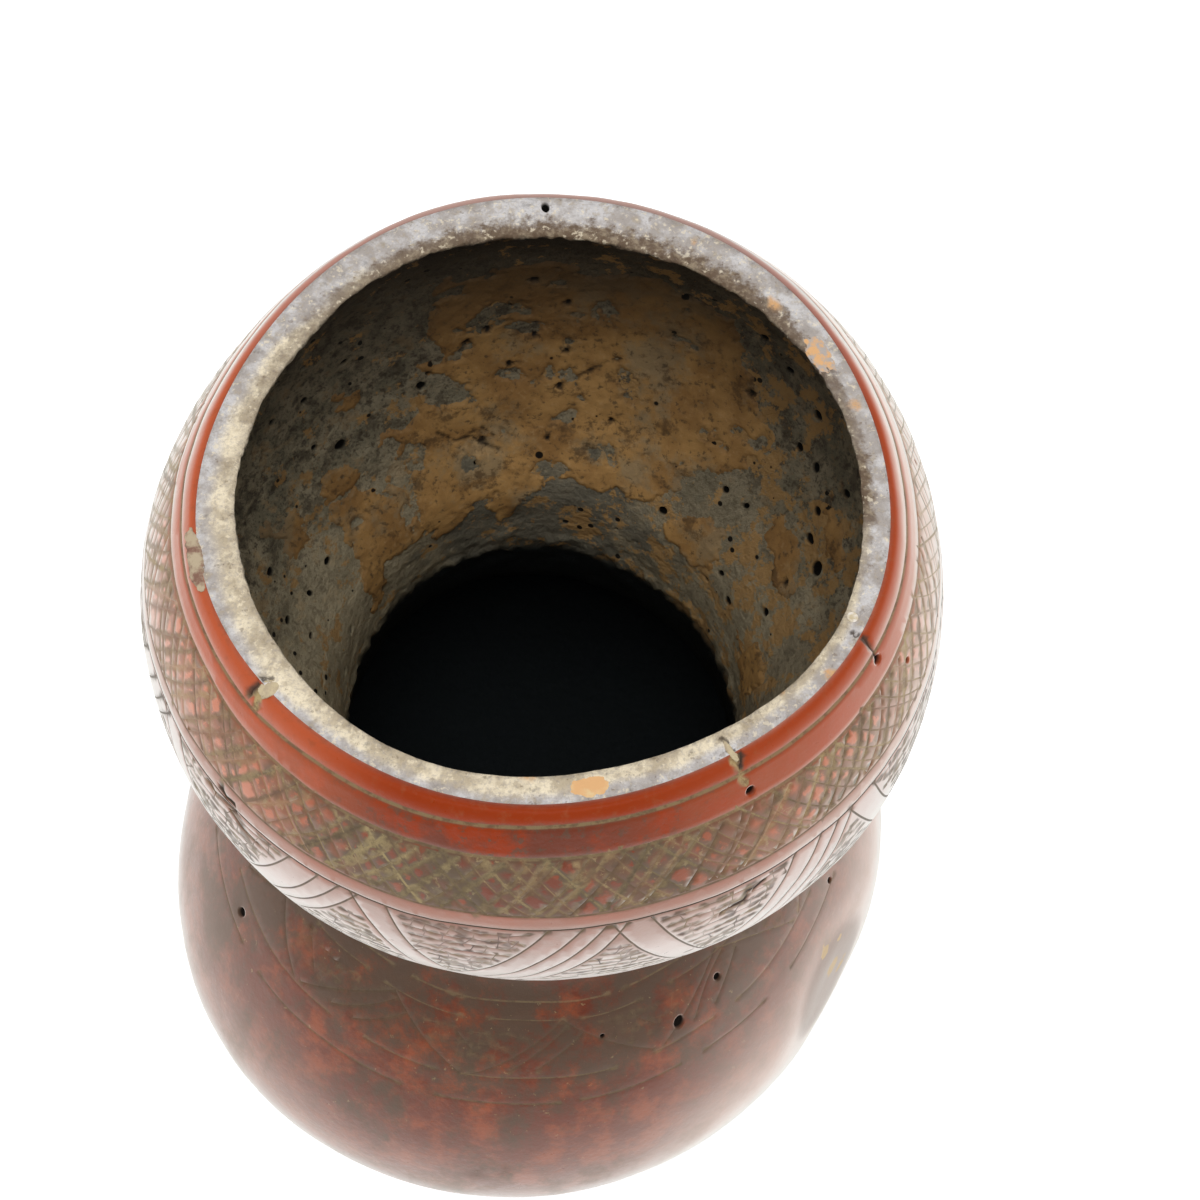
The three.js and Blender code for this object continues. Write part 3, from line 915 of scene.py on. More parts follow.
# Beetle holes in the skin: azimuth, height, radius, stretch and tilt
SKIN_HOLES = (
    (-55.9, 236.9, 0.62, 1.2, 0.6), (-27.4, 238.2, 0.62, 1.2, 0.2), (-22.7, 232.6, 0.5, 1.0, 0.0),
    (-47.5, 115.4, 0.8, 1.1, 1.4), (-58.2, 112.9, 1.05, 1.35, 1.0),
    (-151.7, 107.2, 0.95, 1.15, 0.3),
    (-17.0, 105.6, 0.75, 1.0, 0.0), (-73.3, 115.8, 0.5, 1.0, 0.0), (78.0, 92.0, 0.8, 1.1, 0.5),
    (151.0, 213.0, 0.8, 1.0, 0.0), (112.0, 118.0, 0.75, 1.2, 0.9),
)

# Larger holes in the inner wall: azimuth, height, radius and stretch
WALL_HOLES = (
    (96, 213.6, 1.0, 1.6), (90, 205.6, 0.8, 1.5), (105, 200.8, 0.9, 1.2), (109, 198.5, 1.0, 1.2),
    (96, 197.3, 0.7, 1.1), (90, 193.1, 0.8, 1.0), (101, 191.4, 0.8, 1.0), (119, 191.4, 0.9, 1.1),
    (117, 193.6, 0.6, 1.3), (91, 185.5, 0.8, 1.2), (79, 178.8, 0.7, 1.1), (93, 174.8, 0.7, 1.2),
    (69, 211.4, 0.7, 1.2), (55, 208.0, 0.8, 1.1), (49, 204.1, 0.8, 1.0), (54, 194.0, 0.9, 1.0),
    (41, 200.0, 0.9, 1.2), (41, 191.5, 0.8, 1.1), (36, 191.3, 0.8, 1.2), (30, 186.3, 0.8, 1.1),
    (28, 193.8, 0.8, 1.2), (49, 175.4, 0.7, 1.0), (60, 166.0, 0.9, 1.0), (27, 182.0, 0.9, 1.2),
    (21, 180.5, 1.3, 1.1), (23, 173.9, 0.8, 1.3), (30, 160.7, 0.8, 1.2), (20, 167.9, 0.8, 1.0),
    (138, 187.9, 1.0, 1.2), (166, 182.4, 0.8, 1.2), (155, 172.8, 0.8, 1.0), (132, 205.7, 0.7, 1.3),
    (141, 202.5, 0.7, 1.0), (148, 203.9, 0.7, 1.0), (108, 176.1, 0.8, 1.6),
)

WALL_HOLE_DEPTH = 1.5 * MM

# Swellings of the lip into the mouth: millimetres, direction and spread in degrees
LIP_SWELLS = ((0.2, -82, 38), (0.9, -152, 32), (0.8, -4, 22))

# Cracks in the rim's cut face: azimuth and share of the way to the outer edge, for each bend
RIM_CRACKS = (
    ((-56.0, 1.0), (-57.0, 0.75), (-55.8, 0.5), (-56.5, 0.2)),
    ((-138.4, 1.0), (-138.9, 0.85), (-138.1, 0.7)),
    ((-27.0, 1.0), (-27.5, 0.8), (-26.8, 0.65)),
)

# Spots on the rim's face: azimuth, offset from the outer edge, radius
CREAM_SPOTS = (
    (-138.2, -3.0, 2.4), (-145.3, -4.6, 2.3), (-150.2, -5.4, 1.8), (-18.9, -4.3, 0.7),
    (-60, -4.9, 1.4),
    (-96, -3.6, 2.2),
)
ORANGE_SPOTS = (
    (-45.5, -4.9, 0.9), (-39.9, -4.7, 0.8), (-35.2, -1.1, 0.8), (-43.0, -4.9, 0.5),
    (18.0, -2.6, 0.8),
    (44.0, -4.4, 1.0), (-90.0, -4.5, 0.7), (64.0, -3.2, 0.6),
)

# Stains on the skin: azimuth, height, radius
SCAR_SPOTS = ((-25.7, 82.0, 3.0), (-26.8, 95.0, 2.0), (-22.5, 90.5, 1.3), (-24.0, 75.0, 1.4))
SMUDGES = ((-94.6, 84.0, 3.6), (-90.5, 86.5, 2.4))

# Torn places of the dried coat that show pale fibres: azimuth, height, radius
COAT_TEARS = ((113.0, 175.2, 1.7), (110.4, 174.6, 1.9), (107.6, 173.6, 1.3))

# Cracks in the dried coat: azimuth and height of each bend
COAT_CRACKS = (
    ((118.3, 180.6), (114.3, 177.3), (110.7, 177.4), (108.2, 175.3), (104.6, 173.5)),
    ((90.8, 185.5), (87.4, 187.5), (84.6, 189.1), (81.8, 191.0), (79.2, 192.0)),
    ((111.0, 178.0), (108.0, 178.6), (105.5, 176.5)),
)


def skin_relief(points):
    """Slight natural unevenness of the waxed skin, never above its outline."""
    coarse = 0.14 * MM * rough(points, 15 * MM, 3, 1)
    fine = 0.03 * MM * rough(points, 3 * MM, 3, 2)
    return np.minimum(0, coarse + fine - 0.08 * MM)


def wall_relief(form, points):
    """Unevenness of the bare inner wall, of the ragged throat and of the rim's face."""
    height = points[:, 2]
    face = smooth(height, form.rim - 0.9 * MM, form.rim - 0.35 * MM)
    lip = smooth(height, form.rim - 5 * MM, form.rim - 2 * MM) * (1 - face)
    throat = np.exp(-(((height - form.waist) / (5 * MM)) ** 2))
    coarse = rough(points, 7 * MM, 5, 3)
    fine = rough(points, 1.6 * MM, 3, 4)
    wall = 0.42 * MM * coarse + 0.16 * MM * fine
    wall += throat * (0.8 * MM * rough(points, 3 * MM, 4, 5) + 0.25 * MM * fine)
    wall += lip * (0.22 * MM * rough(points, 2 * MM, 4, 6) + 0.15 * MM * fine)
    cut = 0.07 * MM * coarse + 0.035 * MM * fine
    return (1 - face) * wall + face * cut


def scene_form():
    """The form that the panel's sizes give."""
    return Form(bpy.context.scene.gourd_sizes)


def skin_spacing(surface):
    """Mesh gaps of the skin: finest over the upper bands, finer over the lower band."""
    bands, shoulder, under = (surface.along_at(height) for height in (196, 124, 102))

    def spacing(along):
        if along > bands:
            return 1.15 * MM
        if under < along < shoulder:
            return 1.4 * MM
        return 2.4 * MM if along > shoulder else 3.0 * MM

    return spacing


def build_skin(material):
    """The hard waxed skin with its engraving and beetle holes."""
    form = scene_form()
    surface = outside_surface(form)
    engraver = Engraver(surface, bpy.context.scene.gourd_engraving)
    strokes = engraver.all_strokes()

    def pit_at(azimuth, height, radius, depth, *shape):
        return Pit(azimuth * DEGREE, float(surface.along_at(height)), radius * MM, depth, *shape)

    pits = [
        pit_at(azimuth, height, radius, 0.8 * form.sizes.skin, stretch, tilt)
        for azimuth, height, radius, stretch, tilt in SKIN_HOLES
    ]
    # Rings without depth, which only give the mesh points to carry the small stains
    grains = [pit_at(azimuth, height, 0.8 * radius, 0) for azimuth, height, radius in SCAR_SPOTS]
    sheet = weave(surface, skin_spacing(surface), strokes, pits + grains)
    points = surface.at(sheet["azimuth"], sheet["along"])
    normals = surface.normal(sheet["azimuth"], sheet["along"])
    cut_depth, masks = cut_masks(surface, strokes, points, 1.1 * MM)
    pit_depth, masks["pit"] = pit_masks(surface, sheet, pits)
    hold = smooth(surface.length - sheet["along"], 0, 1.2 * MM) * smooth(points[:, 2], 0, 3 * MM)
    push = skin_relief(points) - np.maximum(cut_depth, pit_depth)
    points = points + normals * (push * hold)[:, None]
    heights, degrees = points[:, 2] / MM, np.degrees(sheet["azimuth"])
    masks["hatch"] = hatch_mask(engraver.hatched, degrees, heights)
    masks["amber"] = spot_mask(form, points, SCAR_SPOTS)
    lines = (LATTICE_FOOT, course(SECOND_LINE, degrees), course(FIRST_LINE, degrees))
    masks["band"] = sum(smooth(heights, line - 0.5, line + 0.5) for line in lines)
    masks["front"] = around(sheet["azimuth"], -92, 30)
    scar = 1 - smooth(form.scar_away(points[:, 2], sheet["azimuth"]), 0.45, 0.8)
    masks["scar"] = np.maximum(scar, 0.75 * spot_mask(form, points, SMUDGES))
    shell_piece("gourd_waxed_skin", form, sheet, points, masks, material)


def around(azimuth, toward, reach):
    """1 in one direction, falling to 0 away from it, in degrees."""
    away = (np.degrees(azimuth) - toward + 180) % 360 - 180
    return np.exp(-((away / reach) ** 2))


def spot_mask(form, points, spots):
    """1 on ragged spots of the skin, 0 away from them."""
    mask = np.zeros(len(points))
    ragged = 0.9 * MM * rough(points, 2.5 * MM, 4, 8)
    for turn, height, radius in spots:
        height = np.array([height * MM])
        middle = np.append(form.ring(height, np.array([turn * DEGREE]), 1, 0, False)[0], height)
        away = np.linalg.norm(points - middle, axis=1) + ragged
        mask = np.maximum(mask, 1 - smooth(away, 0.6 * radius * MM, 1.1 * radius * MM))
    return mask


def rim_spots(form, points, spots):
    """1 on ragged spots of the rim's face, 0 away from them."""
    mask = np.zeros(len(points))
    near = np.flatnonzero(points[:, 2] > form.rim - 2 * MM)
    ragged = 0.7 * MM * rough(points[near], 2 * MM, 4, 9)
    for turn, off, radius in spots:
        middle = form.ring(np.array([form.rim]), np.array([turn * DEGREE]), 1, off * MM, False)[0]
        away = np.linalg.norm(points[near, :2] - middle, axis=1) + ragged
        spot = 1 - smooth(away, 0.6 * radius * MM, 1.15 * radius * MM)
        mask[near] = np.maximum(mask[near], spot)
    return mask


def hatch_mask(triangles, degrees, heights):
    """1 inside the hatched triangles, 0 outside them."""
    mask = np.zeros(len(degrees))
    for corners in triangles:
        for turn in (-360, 0, 360):
            places = np.stack([degrees + turn, heights], -1)
            low, high = corners.min(axis=0), corners.max(axis=0)
            near = np.flatnonzero(((places > low - 2) & (places < high + 2)).all(axis=1))
            if len(near):
                inside = smooth(depth_inside(places[near], corners), -0.4, 0.6)
                mask[near] = np.maximum(mask[near], inside)
    return mask


def crack_strokes(face_start, face_width):
    """The cracks in the rim's cut face, as strokes."""
    strokes = []
    for crack in RIM_CRACKS:
        bends = np.array(crack)
        fine = np.linspace(0, len(crack) - 1, 5 * (len(crack) - 1) + 1)
        azimuth, share = (np.interp(fine, range(len(crack)), column) for column in bends.T)
        along = face_start + np.minimum(share, 0.93) * face_width
        strokes.append(Stroke(np.radians(azimuth), along, 0.2 * MM, 0.4 * MM, 0.3))
    return strokes


def wall_pits(surface):
    """The larger beetle holes of the wall, and smaller ones at random between them."""
    random = np.random.default_rng(31)
    holes = list(WALL_HOLES)
    for _ in range(90):
        place = (random.uniform(-180, 180), random.uniform(152, 228))
        if all(abs(place[0] - hole[0]) > 4 or abs(place[1] - hole[1]) > 4 for hole in holes):
            holes.append((*place, random.uniform(0.35, 0.7), random.uniform(1, 1.5)))
    return [
        Pit(
            azimuth * DEGREE,
            float(surface.along_at(height)),
            radius * MM,
            WALL_HOLE_DEPTH,
            stretch,
            random.uniform(0, math.pi),
        )
        for azimuth, height, radius, stretch in holes
    ]


def wall_spacing(surface, form):
    """Mesh gaps of the wall: finest at the lip and the rim, fine at the ragged throat."""
    lip = surface.along[np.searchsorted(surface.heights, form.rim - 2.5 * MM)]
    throat_low, throat_high = surface.along_at([134, 152])

    def spacing(along):
        if along > lip:
            return 0.75 * MM
        if along > throat_high:
            return 1.25 * MM
        return 0.95 * MM if along > throat_low else 3.2 * MM

    return spacing


def build_wall(material):
    """The bare inner wall, the ragged throat and the cut rim."""
    form = scene_form()
    surface = wall_surface(form)
    face_start = surface.along[np.flatnonzero(surface.rows[:, 5] == 1)[-1]]
    face_width = surface.length - face_start
    strokes = crack_strokes(face_start, face_width)
    pits = wall_pits(surface)
    pits.append(Pit(93 * DEGREE, face_start + 0.74 * face_width, 0.6 * MM, WALL_HOLE_DEPTH))
    sheet = weave(surface, wall_spacing(surface, form), strokes, pits)
    points = surface.at(sheet["azimuth"], sheet["along"])
    normals = surface.normal(sheet["azimuth"], sheet["along"])
    cut_depth, masks = cut_masks(surface, strokes, points, 0.6 * MM)
    pit_depth, masks["pit"] = pit_masks(surface, sheet, pits)
    hold = smooth(surface.length - sheet["along"], 0, 0.8 * MM)
    push = wall_relief(form, points) * hold - np.maximum(cut_depth, pit_depth)
    points = points + normals * push[:, None]
    points[:, 2] = np.minimum(points[:, 2], form.rim - 0.02 * MM)
    across = np.clip((sheet["along"] - face_start) / face_width, 0, 1)
    turn = sheet["azimuth"]
    lip = sum(share * around(turn, toward, reach) for share, toward, reach in LIP_SWELLS)
    lip *= MM * smooth(points[:, 2], form.rim - 14 * MM, form.rim - 1.5 * MM) * (1 - across)
    points[:, :2] -= lip[:, None] * np.stack([np.cos(turn), np.sin(turn)], -1)
    masks["across"] = across
    cream = rim_spots(form, points, CREAM_SPOTS)
    masks["cream"] = np.maximum(0.5 + 0.5 * np.cos(turn + 125 * DEGREE), 1.7 * cream)
    masks["orange"] = rim_spots(form, points, ORANGE_SPOTS)
    masks["damp"] = around(turn, 92, 36) * (1 - smooth(points[:, 2], 162 * MM, 178 * MM))
    masks["back"] = np.maximum(around(turn, 78, 84), around(turn, 3, 13))
    shell_piece("gourd_inner_wall", form, sheet, points, masks, material)


# Coat islands: the CAD node each stands for, and its outline as azimuth and height
COAT_OUTLINES = {
    "coat_back_sheet": (
        (117, 208), (112, 217), (103, 219), (91, 219), (84, 214), (74, 215), (66, 211), (59, 206),
        (53, 193), (46, 188), (44, 183), (56, 176), (61, 168), (78, 166), (93, 167), (105, 157),
        (111, 163), (119, 158), (126, 156), (128, 165), (127, 174), (129, 183), (121, 186),
        (123, 193),
        (114, 197),
    ),
    "coat_left_tongue": (
        (147, 178), (140, 178), (131, 177), (129, 170), (129, 162), (136, 161), (141, 160),
        (144, 155),
        (148, 151), (152, 152), (151, 161), (149, 169),
    ),
    "coat_left_high_spot": ((135, 198), (131, 198), (130, 194), (133, 193), (136, 195)),
    "coat_left_middle_spot": ((138, 189), (134, 189), (133, 187), (136, 186)),
    "coat_left_low_spot": ((144, 184), (139, 184), (138, 180), (142, 179), (146, 182)),
    "coat_left_island": (
        (158, 185), (153, 186), (151, 182), (154, 177), (160, 178), (160, 182),
    ),
    "coat_left_rim_side_spot": ((162, 187), (160, 188), (159, 185), (161, 184)),
    "coat_right_low_patch": ((58, 165), (48, 171), (41, 169), (40, 163), (46, 160), (56, 161)),
    "coat_right_middle_patch": ((34, 180), (26, 178), (21, 174), (25, 171), (32, 174), (37, 178)),
    "coat_right_upper_patch": ((31, 191), (24, 190), (17, 187), (16, 184), (22, 184), (29, 187)),
    "coat_front_right_patch": ((21, 158), (14, 163), (7, 164), (2, 161), (6, 152), (15, 153)),
}

# Places where the coat has flaked away: azimuth, height and radius
COAT_BITES = (
    (118, 191, 4.6), (113, 187, 2.2), (126, 178, 4.2), (101, 189, 2.0), (98, 199, 1.6),
    (101, 205, 2.6), (108, 204, 2.0), (104, 201, 1.5), (88, 179, 1.3), (70, 199, 1.1),
    (84, 205, 1.4), (60, 182, 1.3), (92, 212, 1.0), (112, 172, 1.6), (76, 171, 1.0),
    (52, 186, 1.2), (121, 199, 2.2), (90, 168, 2.4), (100, 166, 2.0), (66, 189, 0.9),
    (111, 213, 2.0), (47, 183, 1.0), (137, 171, 1.4), (143, 173, 1.2),
)


def build_coat(name, outline, material):
    """One island of the dried coat, with a ragged edge, seated on the inner wall."""
    form = scene_form()
    surface = wall_surface(form)

    def place(turn, height):
        return np.stack([np.asarray(turn) * DEGREE * COAT_SPAN, surface.along_at(height)], -1)

    corners = place(*np.array(outline, float).T)
    low, high = corners.min(axis=0) - 3 * MM, corners.max(axis=0) + 3 * MM
    columns, rows = (np.ceil((high - low) / COAT_GAP)).astype(int) + 1
    across, up = np.meshgrid(
        low[0] + COAT_GAP * np.arange(columns), low[1] + COAT_GAP * np.arange(rows), indexing="ij"
    )
    across = across + (np.arange(rows) % 2) * COAT_GAP / 2
    flat = np.stack([across.ravel(), up.ravel()], -1)
    azimuth, along = flat[:, 0] / COAT_SPAN, flat[:, 1]
    base = surface.at(azimuth, along)
    normals = surface.normal(azimuth, along)
    inside = depth_inside(flat, corners)
    inside += 2.8 * MM * rough(base, 7 * MM, 6, 11) + 1.1 * MM * rough(base, 1.6 * MM, 4, 12)
    flake = rough(base, 5 * MM, 6, 13) + 0.62
    for turn, height, radius in COAT_BITES:
        away = (flat - place(turn, height)) * (0.8, 1.2)
        flake -= 0.95 * np.exp(-((np.linalg.norm(away, axis=1) / (1.3 * radius * MM)) ** 2))
    inside = np.minimum(inside, 3.5 * MM * flake)

    def spots(places, full, clear, ragged=0.0):
        mask = np.zeros(len(flat))
        for turn, height, radius, *_ in places:
            away = np.linalg.norm(flat - place(turn, height), axis=1) / (radius * MM) + ragged
            mask = np.maximum(mask, 1 - smooth(away, full, clear))
        return mask

    pit = spots(WALL_HOLES, 0.75, 1.1)
    torn = spots(COAT_TEARS, 0.7, 1.1, 0.6 * rough(base, 1.5 * MM, 4, 16))
    paths = [place(*np.array(bends).T) for bends in COAT_CRACKS]
    crack = np.min([path_distance(flat, path) for path in paths], axis=0)
    crack += 0.45 * MM * rough(base, 2.5 * MM, 4, 15)
    crack = 1 - smooth(crack, 0.1 * MM, 0.6 * MM)
    thick = -0.25 * MM + 0.5 * MM * smooth(inside, -0.35 * MM, 0.5 * MM)
    curl = 0.05 * MM * np.exp(-(((inside - 0.9 * MM) / (0.7 * MM)) ** 2))
    thick += curl + 0.09 * MM * rough(base, 4 * MM, 5, 14) * (inside > 0)
    thick -= 0.28 * MM * crack + 0.6 * MM * pit + 0.12 * MM * torn
    relief = wall_relief(form, base)
    settled = 0.55 * relief + 0.1 * MM
    relief = relief + (settled - relief) * smooth(inside, -0.3 * MM, 1.2 * MM)
    top = base + normals * (relief + thick)[:, None]
    bottom = base - normals * COAT_ROOT
    triangles = staggered_grid(columns, rows)
    triangles = triangles[inside[triangles].max(axis=1) > -0.5 * MM][:, ::-1]
    border = open_edges(triangles)
    while (np.bincount(border[:, 0]) > 1).any():
        pinched = np.flatnonzero(np.bincount(border[:, 0]) > 1)
        triangles = triangles[~np.isin(triangles, pinched).any(axis=1)]
        border = open_edges(triangles)
    used, packed = np.unique(triangles, return_inverse=True)
    triangles = packed.reshape(-1, 3)
    border = np.searchsorted(used, border)
    count = len(used)
    walls = np.concatenate([
        np.stack([border[:, 1], border[:, 0], border[:, 0] + count], -1),
        np.stack([border[:, 1], border[:, 0] + count, border[:, 1] + count], -1),
    ])
    faces = np.concatenate([triangles, triangles[:, ::-1] + count, walls])
    points = np.concatenate([top[used], bottom[used]])
    edge = 1 - smooth(inside, 0.1 * MM, 1.5 * MM)
    masks = {"edge": edge, "crack": crack, "pit": pit, "torn": torn}
    masks = {label: np.tile(mask[used], 2) for label, mask in masks.items()}
    finished_piece(name + "_flake", points, faces, masks, material, name, "dried_coat")


def staggered_grid(columns, rows):
    """Triangles of a grid whose odd rows are set over by half a gap."""
    index = np.arange(columns * rows).reshape(columns, rows)
    a, b, c, d = index[:-1, :-1], index[1:, :-1], index[1:, 1:], index[:-1, 1:]
    odd = (np.arange(rows - 1) % 2 == 1)[None, :, None]
    first = np.where(odd, np.stack([a, b, d], -1), np.stack([a, b, c], -1))
    second = np.where(odd, np.stack([b, c, d], -1), np.stack([a, c, d], -1))
    return np.concatenate([first.reshape(-1, 3), second.reshape(-1, 3)])


def open_edges(triangles):
    """Edges that only one triangle has, the way that triangle runs."""
    half = np.concatenate([triangles[:, [0, 1]], triangles[:, [1, 2]], triangles[:, [2, 0]]])
    keys = set(map(tuple, half.tolist()))
    return np.array([(p, q) for p, q in sorted(keys) if (q, p) not in keys])


def path_distance(places, path):
    """Distance of places from a path of straight stretches."""
    nearest = np.full(len(places), np.inf)
    for start, end in zip(path[:-1], path[1:]):
        way = end - start
        share = np.clip((places - start) @ way / (way @ way), 0, 1)
        away = places - start - share[:, None] * way
        nearest = np.minimum(nearest, np.linalg.norm(away, axis=1))
    return nearest


# Rim fillings: CAD node, azimuth, offset from the outer edge, drop, half sizes and kind
RIM_FILLS = {
    "rim_paste_left": (-136.4, -1.0, 0.3, (1.3, 1.7, 1.8), "paste"),
    "rim_crust_left": (-163, -0.3, 0.4, (5.4, 1.3, 1.4), "crust"),
    "rim_crack_fill_front": (-56.4, -1.3, 0.0, (0.5, 1.7, 2.0), "paste"),
    "rim_gum_front": (-79.8, -2.7, 0.0, (3.5, 1.8, 0.9), "gum"),
    "rim_grit_right": (30, -3.7, 0.0, (5.2, 2.0, 0.9), "grit"),
    "rim_bead_right": (-24.5, -2.9, 0.0, (0.8, 0.8, 1.0), "bead"),
}

# Kinds of filling: lump size and lump height in millimetres, record slot, the material's
# name, its two colours, the size of its grains and its roughness
FILL_KINDS = {
    "paste": (1.2, 1.0, "pale_paste", "Pale paste", "paste", "rim_tan", 0.0009, 0.75),
    "crust": (1.2, 1.2, "pale_paste", "Pale crust", "rim_tan", "dusty_wax", 0.002, 0.7),
    "gum": (1.2, 0.8, "orange_gum", "Orange gum", "gum", "gum_yellow", 0.003, 0.5),
    "grit": (1.2, 1.3, "orange_gum", "Orange grit", "gum", "rim_face", 0.0012, 0.6),
    "bead": (2.4, 0.15, "white_bead", "White bead", "bead", "paste", 0.0012, 0.35),
}


def build_fill(node, material):
    """A filling or deposit seated in the rim, cut level with its face."""
    form = scene_form()
    toward, off, drop, halves, kind = RIM_FILLS[node]
    lump_size, lump_height, slot = FILL_KINDS[kind][:3]
    place = form.ring(np.array([form.rim]), np.array([toward * DEGREE]), 1, off * MM, False)[0]
    bpy.ops.object.select_all(action="DESELECT")
    bpy.ops.mesh.primitive_ico_sphere_add(subdivisions=5, radius=MM, location=(0, 0, 0))
    piece = bpy.context.object
    piece.name = node + "_crumbs"
    bpy.ops.object.mode_set(mode="EDIT")
    bpy.ops.mesh.select_all(action="SELECT")
    bpy.ops.transform.resize(value=(halves[1], halves[0], halves[2]))
    bpy.ops.transform.rotate(
        value=-toward * DEGREE, orient_axis="Z", center_override=(0, 0, 0)
    )
    bpy.ops.transform.translate(value=(place[0], place[1], form.rim - drop * MM))
    bpy.ops.object.mode_set(mode="OBJECT")
    lumps = bpy.data.textures.new(node + "_lumps", "CLOUDS")
    lumps.noise_scale = lump_size * MM
    lumps.noise_depth = 3
    push = piece.modifiers.new("Lumps", "DISPLACE")
    push.texture = lumps
    push.texture_coords = "GLOBAL"
    push.strength = lump_height * MM
    push.mid_level = 0.62
    bpy.ops.object.modifier_apply(modifier=push.name)
    bpy.data.textures.remove(lumps)
    points = np.empty(3 * len(piece.data.vertices))
    piece.data.vertices.foreach_get("co", points)
    points = points.reshape(-1, 3)
    crest = form.rim - 0.05 * MM + 0.045 * MM * rough(points, 0.9 * MM, 3, 21)
    if kind != "bead":
        out = np.array([math.cos(toward * DEGREE), math.sin(toward * DEGREE)])
        away = points[:, :2] - place
        radial, level = away @ out, away @ np.array([-out[1], out[0]])
        reach = np.hypot(radial / (halves[1] * MM), level / (halves[0] * MM))
        crest -= 0.16 * MM * np.minimum(reach, 1.2) ** 3
    points[:, 2] = np.minimum(points[:, 2], np.minimum(crest, form.rim - 0.01 * MM))
    piece.data.vertices.foreach_set("co", points.ravel())
    piece.data.polygons.foreach_set("use_smooth", np.ones(len(piece.data.polygons), bool))
    piece.data.materials.append(material)
    seat(piece, node, slot)


class Graph:
    """Writes the nodes of one material, group or world."""

    def __init__(self, tree):
        self.tree = tree

    def give(self, made, values):
        """Links or sets inputs of a node. A word stands for the panel's colour of that name."""
        for key, value in values.items():
            if isinstance(value, bpy.types.NodeSocket):
                self.tree.links.new(value, made.inputs[key])
            else:
                value = panel_colour(value) if isinstance(value, str) else value
                made.inputs[key].default_value = value

    def node(self, kind, values=None, **settings):
        """One node, with its settings, and with its inputs linked or set."""
        made = self.tree.nodes.new("ShaderNode" + kind)
        for key, value in settings.items():
            setattr(made, key, value)
        self.give(made, values or {})
        return made

    def math(self, operation, *values, clamp=False):
        """Arithmetic on values."""
        made = self.node("Math", dict(enumerate(values)), operation=operation, use_clamp=clamp)
        return made.outputs[0]

    def times(self, first, *others, clamp=False):
        """A product of values."""
        for other in others:
            first = self.math("MULTIPLY", first, other, clamp=clamp)
        return first

    def mix(self, share, first, second):
        """A blend of two colours."""
        return self.node("Mix", {0: share, 6: first, 7: second}, data_type="RGBA").outputs[2]

    def layers(self, under, table):
        """Lays colours one over another, each by a mask or by the soft step of a value."""
        for over, value, *ramp in table:
            under = self.mix(self.step(value, *ramp) if ramp else value, under, over)
        return under

    def noise(self, vector, size, detail=4.0, rough_share=0.55, stretch=None):
        """Noise with lumps of a size in metres."""
        if stretch:
            vector = self.node(
                "Mapping", {"Vector": vector, "Scale": stretch}, vector_type="POINT"
            ).outputs[0]
        made = self.node(
            "TexNoise",
            {"Vector": vector, "Scale": 1 / size, "Detail": detail, "Roughness": rough_share},
        )
        return made.outputs[0]

    def step(self, value, low, high, start=0.0, end=1.0):
        """A soft step of a value."""
        return self.node(
            "MapRange",
            {0: value, 1: low, 2: high, 3: start, 4: end},
            interpolation_type="SMOOTHSTEP",
        ).outputs[0]

    def mask(self, name):
        """A mask stored on the mesh."""
        return self.node("Attribute", attribute_name=name).outputs["Fac"]

    def bump(self, height, distance, strength=1.0, normal=None):
        """A bump of a height in metres."""
        values = {"Height": height, "Distance": distance, "Strength": strength}
        if normal:
            values["Normal"] = normal
        return self.node("Bump", values).outputs[0]


def group(name, ins, outs, write):
    """A node group with named inputs and outputs."""
    tree = bpy.data.node_groups.new(name, "ShaderNodeTree")
    for label, kind, value in ins:
        socket = tree.interface.new_socket(label, in_out="INPUT", socket_type=kind)
        if value is not None:
            socket.default_value = value
    for label, kind in outs:
        tree.interface.new_socket(label, in_out="OUTPUT", socket_type=kind)
    graph = Graph(tree)
    start, end = tree.nodes.new("NodeGroupInput"), tree.nodes.new("NodeGroupOutput")
    graph.give(end, write(graph, start.outputs))
    return tree


def grouped(graph, tree, **values):
    """The outputs of a node group, with its inputs linked or set."""
    return graph.node("Group", values, node_tree=tree).outputs


def new_material(name):
    """An empty material with its shader and output."""
    material = bpy.data.materials.new(name)
    material.use_nodes = True
    material.node_tree.nodes.clear()
    graph = Graph(material.node_tree)
    shader = graph.node("BsdfPrincipled")
    output = graph.node("OutputMaterial")
    material.node_tree.links.new(shader.outputs[0], output.inputs[0])
    place = graph.node("TexCoord").outputs["Object"]
    return material, graph, shader, place


def panel_colour(name):
    """A colour from the panel with full alpha."""
    return (*getattr(bpy.context.scene.gourd_colours, name), 1.0)


def pore_group():
    """Small dark pores, more in some places than in others."""
    def write(graph, given):
        scale = graph.math("DIVIDE", 1.0, given["Gap"])
        dots = graph.node("TexVoronoi", {"Vector": given["Place"], "Scale": scale})
        wide = graph.step(graph.noise(given["Place"], 0.012, 3), 0.38, 0.62, 0.0, 0.17)
        edge = graph.math("SUBTRACT", wide, dots.outputs["Distance"])
        return {"Pores": graph.step(edge, 0.0, 0.035)}

    return group(
        "Rind pores",
        [("Place", "NodeSocketVector", None), ("Gap", "NodeSocketFloat", 0.004)],
        [("Pores", "NodeSocketFloat")],
        write,
    )


def pores(graph, place, gap):
    """The shared pore group's mask, for a gap in metres."""
    tree = bpy.data.node_groups.get("Rind pores") or pore_group()
    return grouped(graph, tree, Place=place, Gap=gap)["Pores"]


